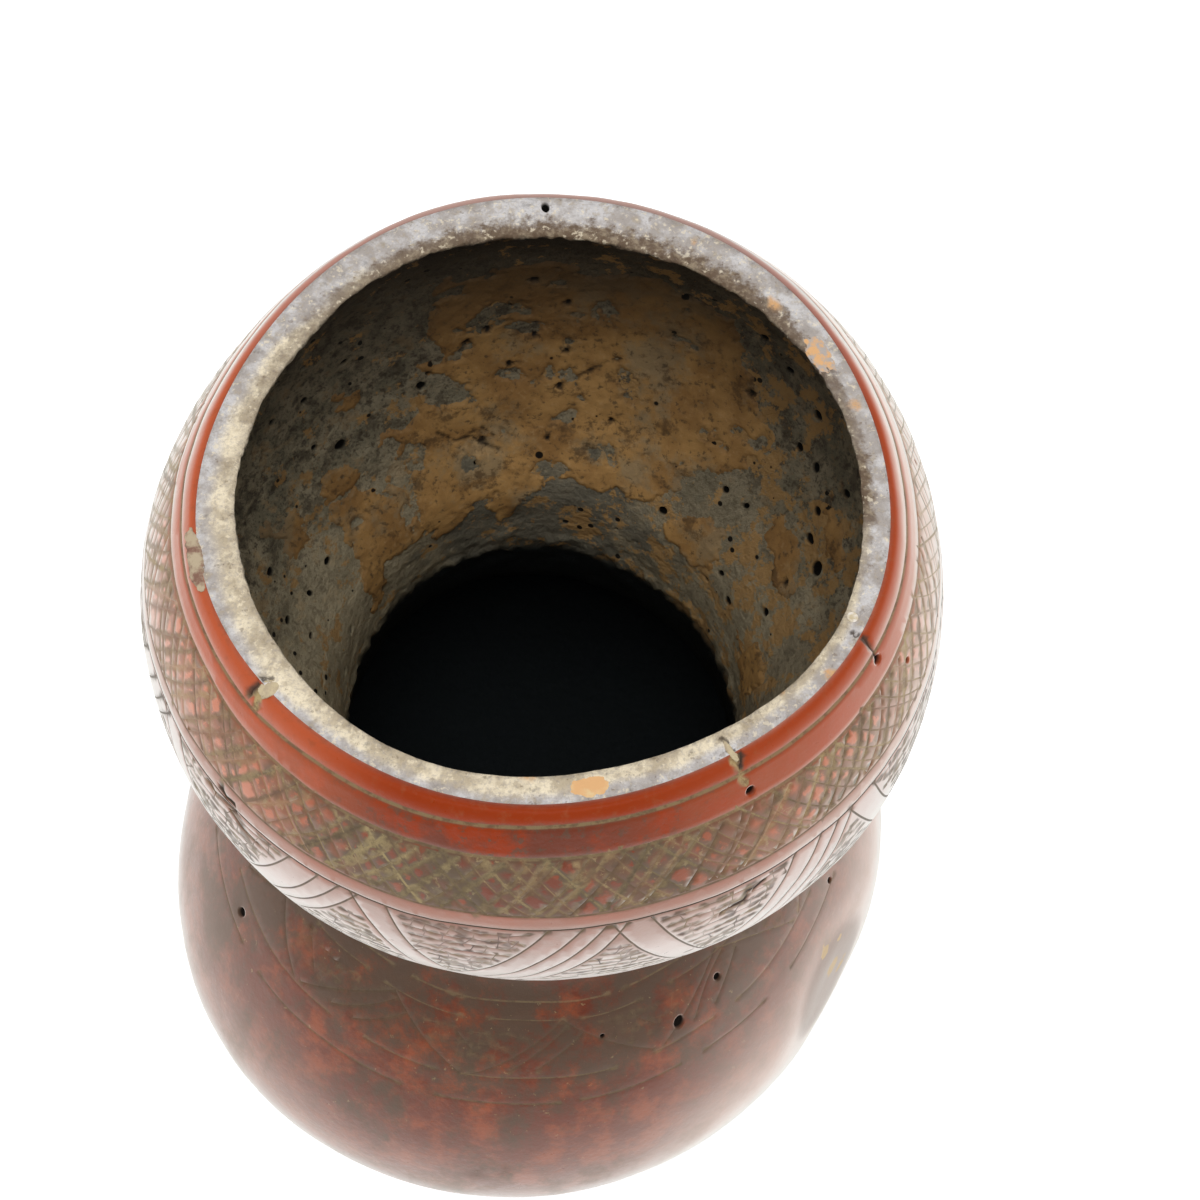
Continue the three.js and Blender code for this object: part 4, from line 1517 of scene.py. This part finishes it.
def crumb_group():
    """Gritty lumps shared by the rim's fillings: their height and where the second colour lies."""
    def write(graph, given):
        lumps = graph.node(
            "TexNoise",
            {"Vector": given["Place"], "Scale": given["Scale"], "Detail": 4, "Roughness": 0.6},
        ).outputs[0]
        return {"Lumps": lumps, "Tone": graph.step(lumps, 0.4, 0.62)}

    return group(
        "Crumbs",
        [("Place", "NodeSocketVector", None), ("Scale", "NodeSocketFloat", 1000)],
        [("Lumps", "NodeSocketFloat"), ("Tone", "NodeSocketFloat")],
        write,
    )


# Fixed dark colours, painted shade: the bottoms of holes, pores and cracks, and shade that the
# light doesn't reach under the lip and in the lower chamber, with a faint painted sheen on the
# chamber's floor
HOLE_SHADE = (0.012, 0.009, 0.007, 1)
WALL_HOLE_SHADE = (0.006, 0.005, 0.004, 1)
PORE_SHADE = (0.012, 0.01, 0.008, 1)
COAT_CRACK_SHADE = (0.025, 0.016, 0.009, 1)
LIP_SHADE = (0.022, 0.016, 0.011, 1)
CHAMBER_FLOOR_SHEEN = (0.022, 0.027, 0.029, 1)
CHAMBER_SHADE = (0.008, 0.01, 0.01, 1)


def skin_material():
    """Waxed red-brown skin with grime, dust and filled cuts; painted light on the left of the rim
    band, a painted sheen where it is seen at a slant, and painted shade in its holes, its cracks
    and under the waist.
    """
    material, graph, shader, place = new_material("Waxed skin")
    east, north, height = graph.node("SeparateXYZ", {0: place}).outputs
    mottle = graph.noise(place, 0.006, 5, 0.6)
    grain = graph.noise(place, 0.0012, 3, 0.6)
    blotch = graph.noise(place, 0.009, 8, 0.68)
    crumbs = graph.noise(place, 0.0018, 4, 0.7)
    deep, dusty, bright, rust = "deep_wax", "dusty_wax", "bright_wax", "rust_wax"
    front = graph.mask("front")
    band = graph.mask("band")
    # Painted light: the band next to the rim is made brighter on the left, away from the front
    side = graph.step(east, 0.03, -0.03, 0.2, 1)
    side = graph.times(side, graph.step(front, 0.8, 0.15, 0, 0.6))
    bright = graph.mix(side, bright, "painted_lit_wax")
    top = graph.mix(graph.step(crumbs, 0.5, 0.72, 0, 0.6), bright, rust)
    plain = graph.mix(graph.step(blotch, 0.40, 0.62, 0, 0.7), bright, rust)
    mottling = graph.times(graph.step(blotch, 0.38, 0.56), graph.step(front, 0.3, 1, 0.12, 1))
    mottled = graph.mix(mottling, plain, deep)
    flecked = graph.times(graph.step(crumbs, 0.54, 0.66, 0, 0.75), front)
    mottled = graph.mix(flecked, mottled, "grime")
    upper = graph.mix(graph.step(band, 2, 3), mottled, top)
    middle = graph.mix(graph.step(blotch, 0.36, 0.62), rust, dusty)
    belly = graph.mix(graph.step(blotch, 0.35, 0.57), rust, deep)
    wax = graph.mix(graph.step(height, 0.128, 0.150), belly, middle)
    wax = graph.mix(graph.step(band, 1, 2), wax, upper)

    lattice = graph.times(graph.step(band, 0, 1), graph.step(band, 2, 1))
    cells = graph.mix(graph.step(blotch, 0.46, 0.66, 0, 0.45), rust, dusty)
    mottle = graph.step(mottle, 0.4, 0.62)
    murky = graph.times(graph.step(mottle, 0.1, 0.6, 0.35, 0.9), front)
    cells = graph.mix(murky, cells, deep)
    wax = graph.mix(lattice, wax, cells)
    clogged = graph.step(graph.noise(place, 0.007, 7, 0.72), 0.44, 0.58, 0.0, 0.75)
    clogged = graph.times(clogged, graph.step(front, 0, 1, 0.75, 0.86))
    # Painted sheen: Layer Weight's facing pales the lattice and the upper bands where they are
    # seen at a slant
    facing = graph.node("LayerWeight", {0: 0.5}).outputs["Facing"]
    warm_sheen_share = graph.times(
        graph.math("POWER", facing, 1.2), graph.step(band, 0.3, 1, 0, 1.6),
        graph.step(front, 0, 0.7, 1, 0.05),
        graph.step(band, 1.3, 2, 1, 0.8),
    )
    glow = graph.mix(graph.step(band, 1.3, 2), "warm_painted_sheen", "painted_lit_wax")
    wax = graph.mix(graph.math("MINIMUM", warm_sheen_share, 0.85), wax, glow)
    salmon = graph.times(graph.step(height, 0.2224, 0.2230), graph.step(band, 0.6, 0.1, 0, 0.7))
    wax = graph.mix(salmon, wax, "salmon_wax")
    near = graph.math("ADD", graph.mask("halo"), graph.times(clogged, lattice))
    near = graph.math("ADD", near, graph.math("MULTIPLY_ADD", crumbs, 0.9, -0.45))
    tan = graph.times(
        graph.step(near, 0.42, 0.78), graph.mask("mark"),
        graph.step(lattice, 0, 1, 0.4, 1.15),
        graph.step(front, 0.1, 0.8, 0.75, 1),
    )
    tan = graph.times(tan, graph.step(band, 1, 2.5, 1, 1.5), clamp=True)
    zone = graph.times(graph.step(height, 0.194, 0.199), graph.step(height, 0.2231, 0.2224))
    strip = graph.step(height, 0.2224, 0.2231)
    tan = graph.times(tan, graph.step(zone, 0, 1, 1, 0.15))
    now = graph.mix(tan, wax, "tan_grime")
    yellow = graph.times(graph.step(crumbs, 0.58, 0.65), graph.step(near, 0.7, 1.0), lattice)
    now = graph.mix(graph.times(yellow, 0.4), now, "pale_fill")

    # Grime on the lower belly, heavier towards the waist, where it is also painted shade under the
    # upper belly; grime in the hatching and on the scar
    low = graph.step(height, 0.150, 0.125)
    streaks = graph.noise(place, 0.013, 9, 0.74, stretch=(1, 1, 0.6))
    streaks = graph.math("ADD", streaks, graph.step(height, 0.085, 0.125, -0.075, 0.055))
    grime_and_waist_shade = graph.times(low, graph.step(streaks, 0.40, 0.60, 0.0, 0.92))
    grime_and_waist_shade = graph.math("MAXIMUM", grime_and_waist_shade, graph.times(graph.mask("hatch"), 0.13))
    scar = graph.mask("scar")
    grime_and_waist_shade = graph.math("MAXIMUM", grime_and_waist_shade, graph.times(scar, 0.85), clamp=True)
    now = graph.mix(grime_and_waist_shade, now, "grime")
    specks = graph.times(low, graph.step(crumbs, 0.66, 0.70, 0, 0.35))
    now = graph.mix(specks, now, "pale_fill")

    # Painted sheen where the skin is seen at a slant: stronger on the right, higher up and on the
    # zigzag band, near white at the outline, weaker on the front lattice and the scar
    side_sheen = graph.step(east, 0.0, 0.06, 1.0, 1.5)
    side_sheen = graph.times(
        side_sheen, graph.step(height, 0.15, 0.2, 1.0, 1.75),
        graph.step(front, 0, 1, 1, 0.75),
    )
    slant = graph.step(east, 0.02, 0.05, 2.6, 1.9)
    slant = graph.math("ADD", slant, graph.step(east, -0.03, -0.05, 0, -0.3))
    slant = graph.times(slant, graph.step(zone, 0, 1, 1, 0))
    slant = graph.math("MULTIPLY_ADD", zone, 1.5, slant)
    slant = graph.math("MULTIPLY_ADD", strip, 1.2, slant)
    murk = graph.times(lattice, front)
    side_sheen = graph.times(side_sheen, graph.step(murk, 0, 1, 1, 0.65))
    sheen_share = graph.times(graph.math("POWER", facing, slant), side_sheen)
    sheen_share = graph.times(sheen_share, graph.step(scar, 0, 1, 1, 0.55), clamp=True)
    band_painted_sheen = graph.mix(
        graph.step(facing, 0.45, 0.8), "pink_painted_sheen", "pale_painted_sheen"
    )
    painted_sheen = graph.mix(zone, "painted_sheen", band_painted_sheen)
    painted_sheen = graph.mix(graph.step(facing, 0.72, 0.97), painted_sheen, "limb_painted_sheen")
    now = graph.mix(sheen_share, now, painted_sheen)
    rear = graph.times(graph.step(north, 0.01, 0.05, 0, 0.6), graph.step(band, 2, 2.6))
    now = graph.mix(rear, now, "rim_face")
    amber = graph.math("MULTIPLY_ADD", crumbs, 2.2, graph.math("ADD", graph.mask("amber"), -1.1))
    amber = graph.times(graph.step(amber, 0.25, 0.6), graph.step(graph.mask("amber"), 0, 0.3))
    now = graph.mix(graph.times(amber, 0.85), now, "gum_yellow")

    fill = graph.mix(
        graph.times(graph.mask("fill"), graph.step(crumbs, 0.38, 0.55, 0.45, 1)),
        "dark_fill_and_crack_shade",
        "pale_fill",
    )
    share = graph.times(
        graph.step(graph.mask("cut"), 0.02, 0.5), graph.mask("mark"),
        graph.step(lattice, 0, 1, 1, 0.7),
    )
    now = graph.mix(share, now, fill)
    now = graph.mix(graph.mask("pit"), now, HOLE_SHADE)
    dull = graph.math("MAXIMUM", share, graph.mask("pit"))
    rough_now = graph.math("MULTIPLY_ADD", grain, 0.25, 0.2)
    rough_now = graph.math("MULTIPLY_ADD", graph.math("MAXIMUM", tan, grime_and_waist_shade), 0.28, rough_now)
    rough_now = graph.math("MULTIPLY_ADD", dull, 0.4, rough_now)
    normal = graph.bump(graph.noise(place, 0.0022, 4, 0.6), 0.00035, 0.5)
    normal = graph.bump(graph.math("ADD", grain, crumbs), 0.00012, 0.6, normal)
    graph.give(shader, {
        "Base Color": now,
        "Roughness": rough_now,
        "Specular IOR Level": 0.25,
        "Coat Weight": 0.08,
        "Coat Roughness": 0.25,
        "Normal": normal,
    })
    return material


def wall_material():
    """Bare pithy wall, painted darker under the lip and near black as shade below the throat, and
    the pale cut face of the rim.
    """
    material, graph, shader, place = new_material("Inner wall")
    east, _, height = graph.node("SeparateXYZ", {0: place}).outputs
    fine = graph.noise(place, 0.0016, 5, 0.68)
    blotch = graph.noise(place, 0.008, 7, 0.66)
    grit = graph.noise(place, 0.0007, 3, 0.7)
    smudge = graph.noise(place, 0.005, 6, 0.72)
    back = graph.mask("back")
    damp = graph.math("ADD", graph.mask("damp"), graph.math("MULTIPLY_ADD", blotch, 2.0, -1.0))
    side = graph.step(east, -0.02, 0.035, 0, 0.062)
    low = graph.step(height, 0.205, 0.18, -0.03, 0)
    residue = graph.noise(place, 0.006, 8, 0.72)
    residue = graph.math("ADD", residue, graph.math("ADD", side, low))
    # Painted shade: near black inside the lower chamber, with a faint bluish painted sheen on its
    # floor
    chamber_shade = graph.mix(graph.step(height, 0.07, 0.02), CHAMBER_SHADE, CHAMBER_FLOOR_SHEEN)
    ragged = graph.math("MULTIPLY_ADD", graph.noise(place, 0.0018, 6, 0.7), 0.003, height)
    under = graph.times(graph.step(ragged, 0.2255, 0.2385), graph.step(back, 0, 0.9, 0.35, 0.96))
    wall = graph.layers("bare_wall", (
        ("wall_green", blotch, 0.42, 0.62),
        ("wall_pale_and_lit", fine, 0.52, 0.70, 0, 0.4),
        ("wall_stain_and_shade", fine, 0.49, 0.36, 0, 0.75),
        ("wall_stain_and_shade", grit, 0.46, 0.36, 0, 0.6),
        ("wall_stain_and_shade", smudge, 0.49, 0.38, 0, 0.62),
        ("coat_pale", smudge, 0.53, 0.64, 0, 0.5),
        # Darker towards the lip: partly stain, partly painted shade under the lip; paler low down:
        # painted light where the wall faces up to the mouth
        ("wall_stain_and_shade", height, 0.186, 0.236, 0, 0.9),
        ("wall_pale_and_lit", height, 0.19, 0.162, 0, 0.55),
        ("wall_stain_and_shade", back, 0.3, 0.95, 0, 0.4),
        ("wall_slate", damp, 0.3, 0.7, 0, 0.62),
        ("coat", residue, 0.565, 0.60, 0, 0.8),
        (PORE_SHADE, pores(graph, place, 0.0042)),
        (chamber_shade, height, 0.147, 0.1415),
        (LIP_SHADE, under),
    ))

    face = graph.step(ragged, 0.2417, 0.2429)
    soft = graph.noise(place, 0.004, 5, 0.6)
    # The lilac stands for the pale outer edge of the rim and a painted highlight along it
    lilac_highlight = graph.mix(graph.step(soft, 0.40, 0.60), "rim_lilac_highlight", "rim_face")
    cream = graph.mix(graph.step(soft, 0.42, 0.58, 0, 0.65), "rim_cream", "rim_tan")
    brown = graph.mix(graph.step(fine, 0.44, 0.66, 0, 0.55), "rim_brown", "rim_tan")
    across = graph.math("SUBTRACT", graph.mask("across"), 0.7)
    across = graph.math("MULTIPLY_ADD", blotch, 1.4, across)
    shift = graph.step(graph.mask("cream"), 0, 1, -0.25, 0.42)
    worn = graph.math("MULTIPLY_ADD", graph.noise(place, 0.0022, 6, 0.7), 1.5, -0.75)
    worn = graph.math("ADD", worn, graph.mask("across"))
    worn = graph.times(graph.step(worn, 0.52, 0.14), graph.step(back, 0, 1, 0.2, 0.97))
    rim = graph.layers(cream, (
        (lilac_highlight, graph.math("SUBTRACT", across, shift), 0.0, 0.45),
        ("rim_cream", fine, 0.58, 0.68, 0, 0.6),
        ("rim_tan", fine, 0.48, 0.36, 0, 0.5),
        ("rim_face", grit, 0.5, 0.38, 0, 0.4),
        (brown, worn),
        ("rim_brown", graph.noise(place, 0.0011, 3, 0.6), 0.36, 0.31, 0, 0.4),
        ("rim_cream", graph.noise(place, 0.0011, 4, 0.6), 0.6, 0.66, 0, 0.5),
        ("gum", graph.times(graph.mask("orange"), graph.step(fine, 0.40, 0.55, 0.3, 1))),
    ))
    wall = graph.layers(wall, (
        (rim, face),
        # Painted shade inside the cracks of the rim's face
        ("dark_fill_and_crack_shade", graph.mask("cut"), 0.1, 0.5, 0, 0.65),
        (WALL_HOLE_SHADE, graph.mask("pit")),
    ))
    normal = graph.bump(graph.math("ADD", fine, blotch), 0.001, 0.9)
    dull = graph.step(face, 0, 1, 0.85, 0.5)
    graph.give(shader, {"Base Color": wall, "Roughness": dull, "Normal": normal})
    return material


def coat_material():
    """Smooth, matte ochre coat, darker and dustier in patches, with painted shade under the lip
    and along its edges.
    """
    material, graph, shader, place = new_material("Dried coat")
    height = graph.node("SeparateXYZ", {0: place}).outputs[2]
    fine = graph.noise(place, 0.0014, 5, 0.66)
    blotch = graph.noise(place, 0.011, 7, 0.64)
    fibres = graph.noise(place, 0.0016, 4, 0.7, stretch=(1, 1, 0.35))
    fibres = graph.step(fibres, 0.42, 0.58, 0.15, 0.8)
    tone = graph.layers("coat", (
        ("coat_brown", blotch, 0.38, 0.62),
        ("wall_green", graph.noise(place, 0.016, 7, 0.72), 0.5, 0.62, 0, 0.5),
        ("coat_pale", fine, 0.54, 0.72, 0, 0.4),
        ("wall_stain_and_shade", fine, 0.46, 0.32, 0, 0.7),
        ("coat_dark_and_shade", graph.noise(place, 0.005, 6, 0.72), 0.47, 0.34, 0, 0.75),
        # Darker towards the lip: partly stain, partly painted shade under it
        ("coat_dark_and_shade", height, 0.190, 0.219, 0, 0.8),
        # Painted shade: a dark line along the flake's edge
        ("wall_stain_and_shade", graph.times(graph.mask("edge"), 0.2)),
        ("coat_pale", graph.times(graph.mask("torn"), fibres)),
        (COAT_CRACK_SHADE, graph.times(graph.mask("crack"), graph.step(blotch, 0.36, 0.5, 0.5, 0.95))),
        (HOLE_SHADE, graph.math("MAXIMUM", graph.mask("pit"), pores(graph, place, 0.0052))),
    ))
    dull = graph.step(fine, 0.3, 0.7, 0.5, 0.75)
    normal = graph.bump(fine, 0.0003, 0.8)
    graph.give(shader, {"Base Color": tone, "Roughness": dull, "Normal": normal})
    return material


def crumb_material(name, first, second, size, roughness):
    """Gritty paste, gum or a hard drop."""
    material, graph, shader, place = new_material(name)
    tree = bpy.data.node_groups.get("Crumbs") or crumb_group()
    crumbs = grouped(graph, tree, Place=place, Scale=1 / size)
    tone = graph.mix(crumbs["Tone"], first, second)
    normal = graph.bump(crumbs["Lumps"], 0.0004, 0.8)
    graph.give(shader, {"Base Color": tone, "Roughness": roughness, "Normal": normal})
    return material


class GOURD_OT_skin(bpy.types.Operator):
    """Builds the waxed and engraved skin"""

    bl_idname = "gourd.skin"
    bl_label = "Waxed Skin"

    def execute(self, context):
        build_skin(skin_material())
        return {"FINISHED"}


class GOURD_OT_wall(bpy.types.Operator):
    """Builds the bare inner wall and the cut rim"""

    bl_idname = "gourd.wall"
    bl_label = "Inner Wall"

    def execute(self, context):
        build_wall(wall_material())
        return {"FINISHED"}


class GOURD_OT_coat(bpy.types.Operator):
    """Builds the islands of dried coat on the inner wall"""

    bl_idname = "gourd.coat"
    bl_label = "Dried Coat"

    def execute(self, context):
        material = coat_material()
        for name, outline in COAT_OUTLINES.items():
            build_coat(name, outline, material)
        return {"FINISHED"}


class GOURD_OT_fills(bpy.types.Operator):
    """Builds the paste, gum and bead on the rim"""

    bl_idname = "gourd.fills"
    bl_label = "Rim Fillings"

    def execute(self, context):
        kinds = {kind: crumb_material(*facts[3:]) for kind, facts in FILL_KINDS.items()}
        for node, facts in RIM_FILLS.items():
            build_fill(node, kinds[facts[-1]])
        return {"FINISHED"}


class GOURD_OT_studio(bpy.types.Operator):
    """Builds the floor, the white room, the soft lamp and the camera"""

    bl_idname = "gourd.studio"
    bl_label = "Studio"

    def execute(self, context):
        build_studio(context.scene.gourd_studio)
        return {"FINISHED"}


def build_studio(studio):
    """Floor, white room, soft lamp and camera."""
    bpy.ops.object.select_all(action="DESELECT")
    bpy.ops.mesh.primitive_grid_add(x_subdivisions=8, y_subdivisions=8, size=6)
    floor = bpy.context.object
    floor.name = "studio_floor"
    floor.data.materials.append(floor_material(studio))
    world = bpy.data.worlds.new("White room")
    world.use_nodes = True
    world.node_tree.nodes.clear()
    graph = Graph(world.node_tree)
    rays = graph.node("LightPath").outputs
    way = graph.node("TexCoord").outputs["Generated"]
    pitch = studio.camera_pitch
    eye = (0, -math.cos(pitch), math.sin(pitch))
    toward = graph.node("VectorMath", {0: way, 1: eye}, operation="DOT_PRODUCT").outputs["Value"]
    shine = graph.step(toward, math.cos(80 * DEGREE), math.cos(42 * DEGREE), 1.0, 0.12)
    soft = graph.node("Mix", {0: rays["Is Glossy Ray"], 2: studio.sky, 3: shine}).outputs[0]
    seen = graph.math("MAXIMUM", rays["Is Camera Ray"], rays["Is Transmission Ray"])
    strength = graph.node("Mix", {0: seen, 2: soft, 3: 1.0}).outputs[0]
    back = graph.node("Background", {"Color": (1, 1, 1, 1), "Strength": strength})
    output = graph.node("OutputWorld")
    world.node_tree.links.new(back.outputs[0], output.inputs[0])
    bpy.context.scene.world = world
    bpy.ops.object.light_add(type="AREA", location=(0.02, -0.32, 1.6))
    lamp = bpy.context.object
    lamp.name = "soft_lamp"
    lamp.data.shape = "DISK"
    lamp.data.size = 1.0
    lamp.data.energy = studio.lamp
    aim = Vector((0, 0, 0.15)) - lamp.location
    lamp.rotation_euler = aim.to_track_quat("-Z", "Y").to_euler()
    lamp.visible_glossy = False
    bpy.ops.object.camera_add()
    camera = bpy.context.object
    camera.name = "photo_camera"
    camera.data.lens = studio.lens
    camera.data.sensor_width = 36
    camera.data.clip_start = 0.01
    turn = Matrix.Rotation(math.pi / 2 - pitch, 4, "X")
    roll = Matrix.Rotation(studio.camera_roll, 4, "Z")
    camera.matrix_world = Matrix.Translation(Vector(studio.camera_place)) @ turn @ roll
    bpy.context.scene.camera = camera
    bpy.context.scene.view_settings.view_transform = "Standard"


def floor_material(studio):
    """Pale floor: white to the camera, with the jug's soft shadow kept."""
    material, graph, shader, place = new_material("Pale floor")
    pale, worn = studio.floor, studio.floor * 0.99
    tone = graph.mix(graph.noise(place, 0.05, 3), (pale, pale, pale, 1), (worn, worn, worn, 1))
    rays = graph.node("LightPath").outputs
    seen = graph.math("MAXIMUM", rays["Is Camera Ray"], rays["Is Glossy Ray"])
    seen = graph.math("MAXIMUM", seen, rays["Is Transmission Ray"])
    glow = graph.mix(seen, (0, 0, 0, 1), (0.5, 0.5, 0.5, 1))
    graph.give(shader, {
        "Base Color": tone,
        "Roughness": 0.9,
        "Emission Color": glow,
        "Emission Strength": 1.0,
    })
    return material


class GOURD_PT_panel(bpy.types.Panel):
    """Lists the settings and the steps that build the gourd."""

    bl_label = "Gourd Jug"
    bl_idname = "GOURD_PT_panel"
    bl_space_type = "VIEW_3D"
    bl_region_type = "UI"
    bl_category = "Gourd Jug"

    def draw(self, context):
        layout = self.layout
        layout.use_property_split = True
        for step in STEPS:
            layout.operator(step.bl_idname)
        for name, kind in SETTINGS.items():
            box = layout.box()
            box.label(text=kind.__doc__)
            for label in kind.__annotations__:
                box.prop(getattr(context.scene, name), label)


STEPS = (GOURD_OT_skin, GOURD_OT_wall, GOURD_OT_coat, GOURD_OT_fills, GOURD_OT_studio)
SETTINGS = {
    "gourd_sizes": GourdSizes,
    "gourd_engraving": GourdEngraving,
    "gourd_colours": GourdColours,
    "gourd_studio": GourdStudio,
}


def register():
    """Adds the settings, the steps and the panel."""
    for kind in (*SETTINGS.values(), *STEPS, GOURD_PT_panel):
        bpy.utils.register_class(kind)
    for name, kind in SETTINGS.items():
        setattr(bpy.types.Scene, name, PointerProperty(type=kind))


def unregister():
    """Takes them all away again."""
    for name in SETTINGS:
        delattr(bpy.types.Scene, name)
    for kind in reversed((*SETTINGS.values(), *STEPS, GOURD_PT_panel)):
        bpy.utils.unregister_class(kind)


def main():
    """Registers the add-on and builds the gourd and its studio."""
    register()
    bpy.ops.gourd.skin()
    bpy.ops.gourd.wall()
    bpy.ops.gourd.coat()
    bpy.ops.gourd.fills()
    bpy.ops.gourd.studio()


if __name__ == "__main__":
    main()
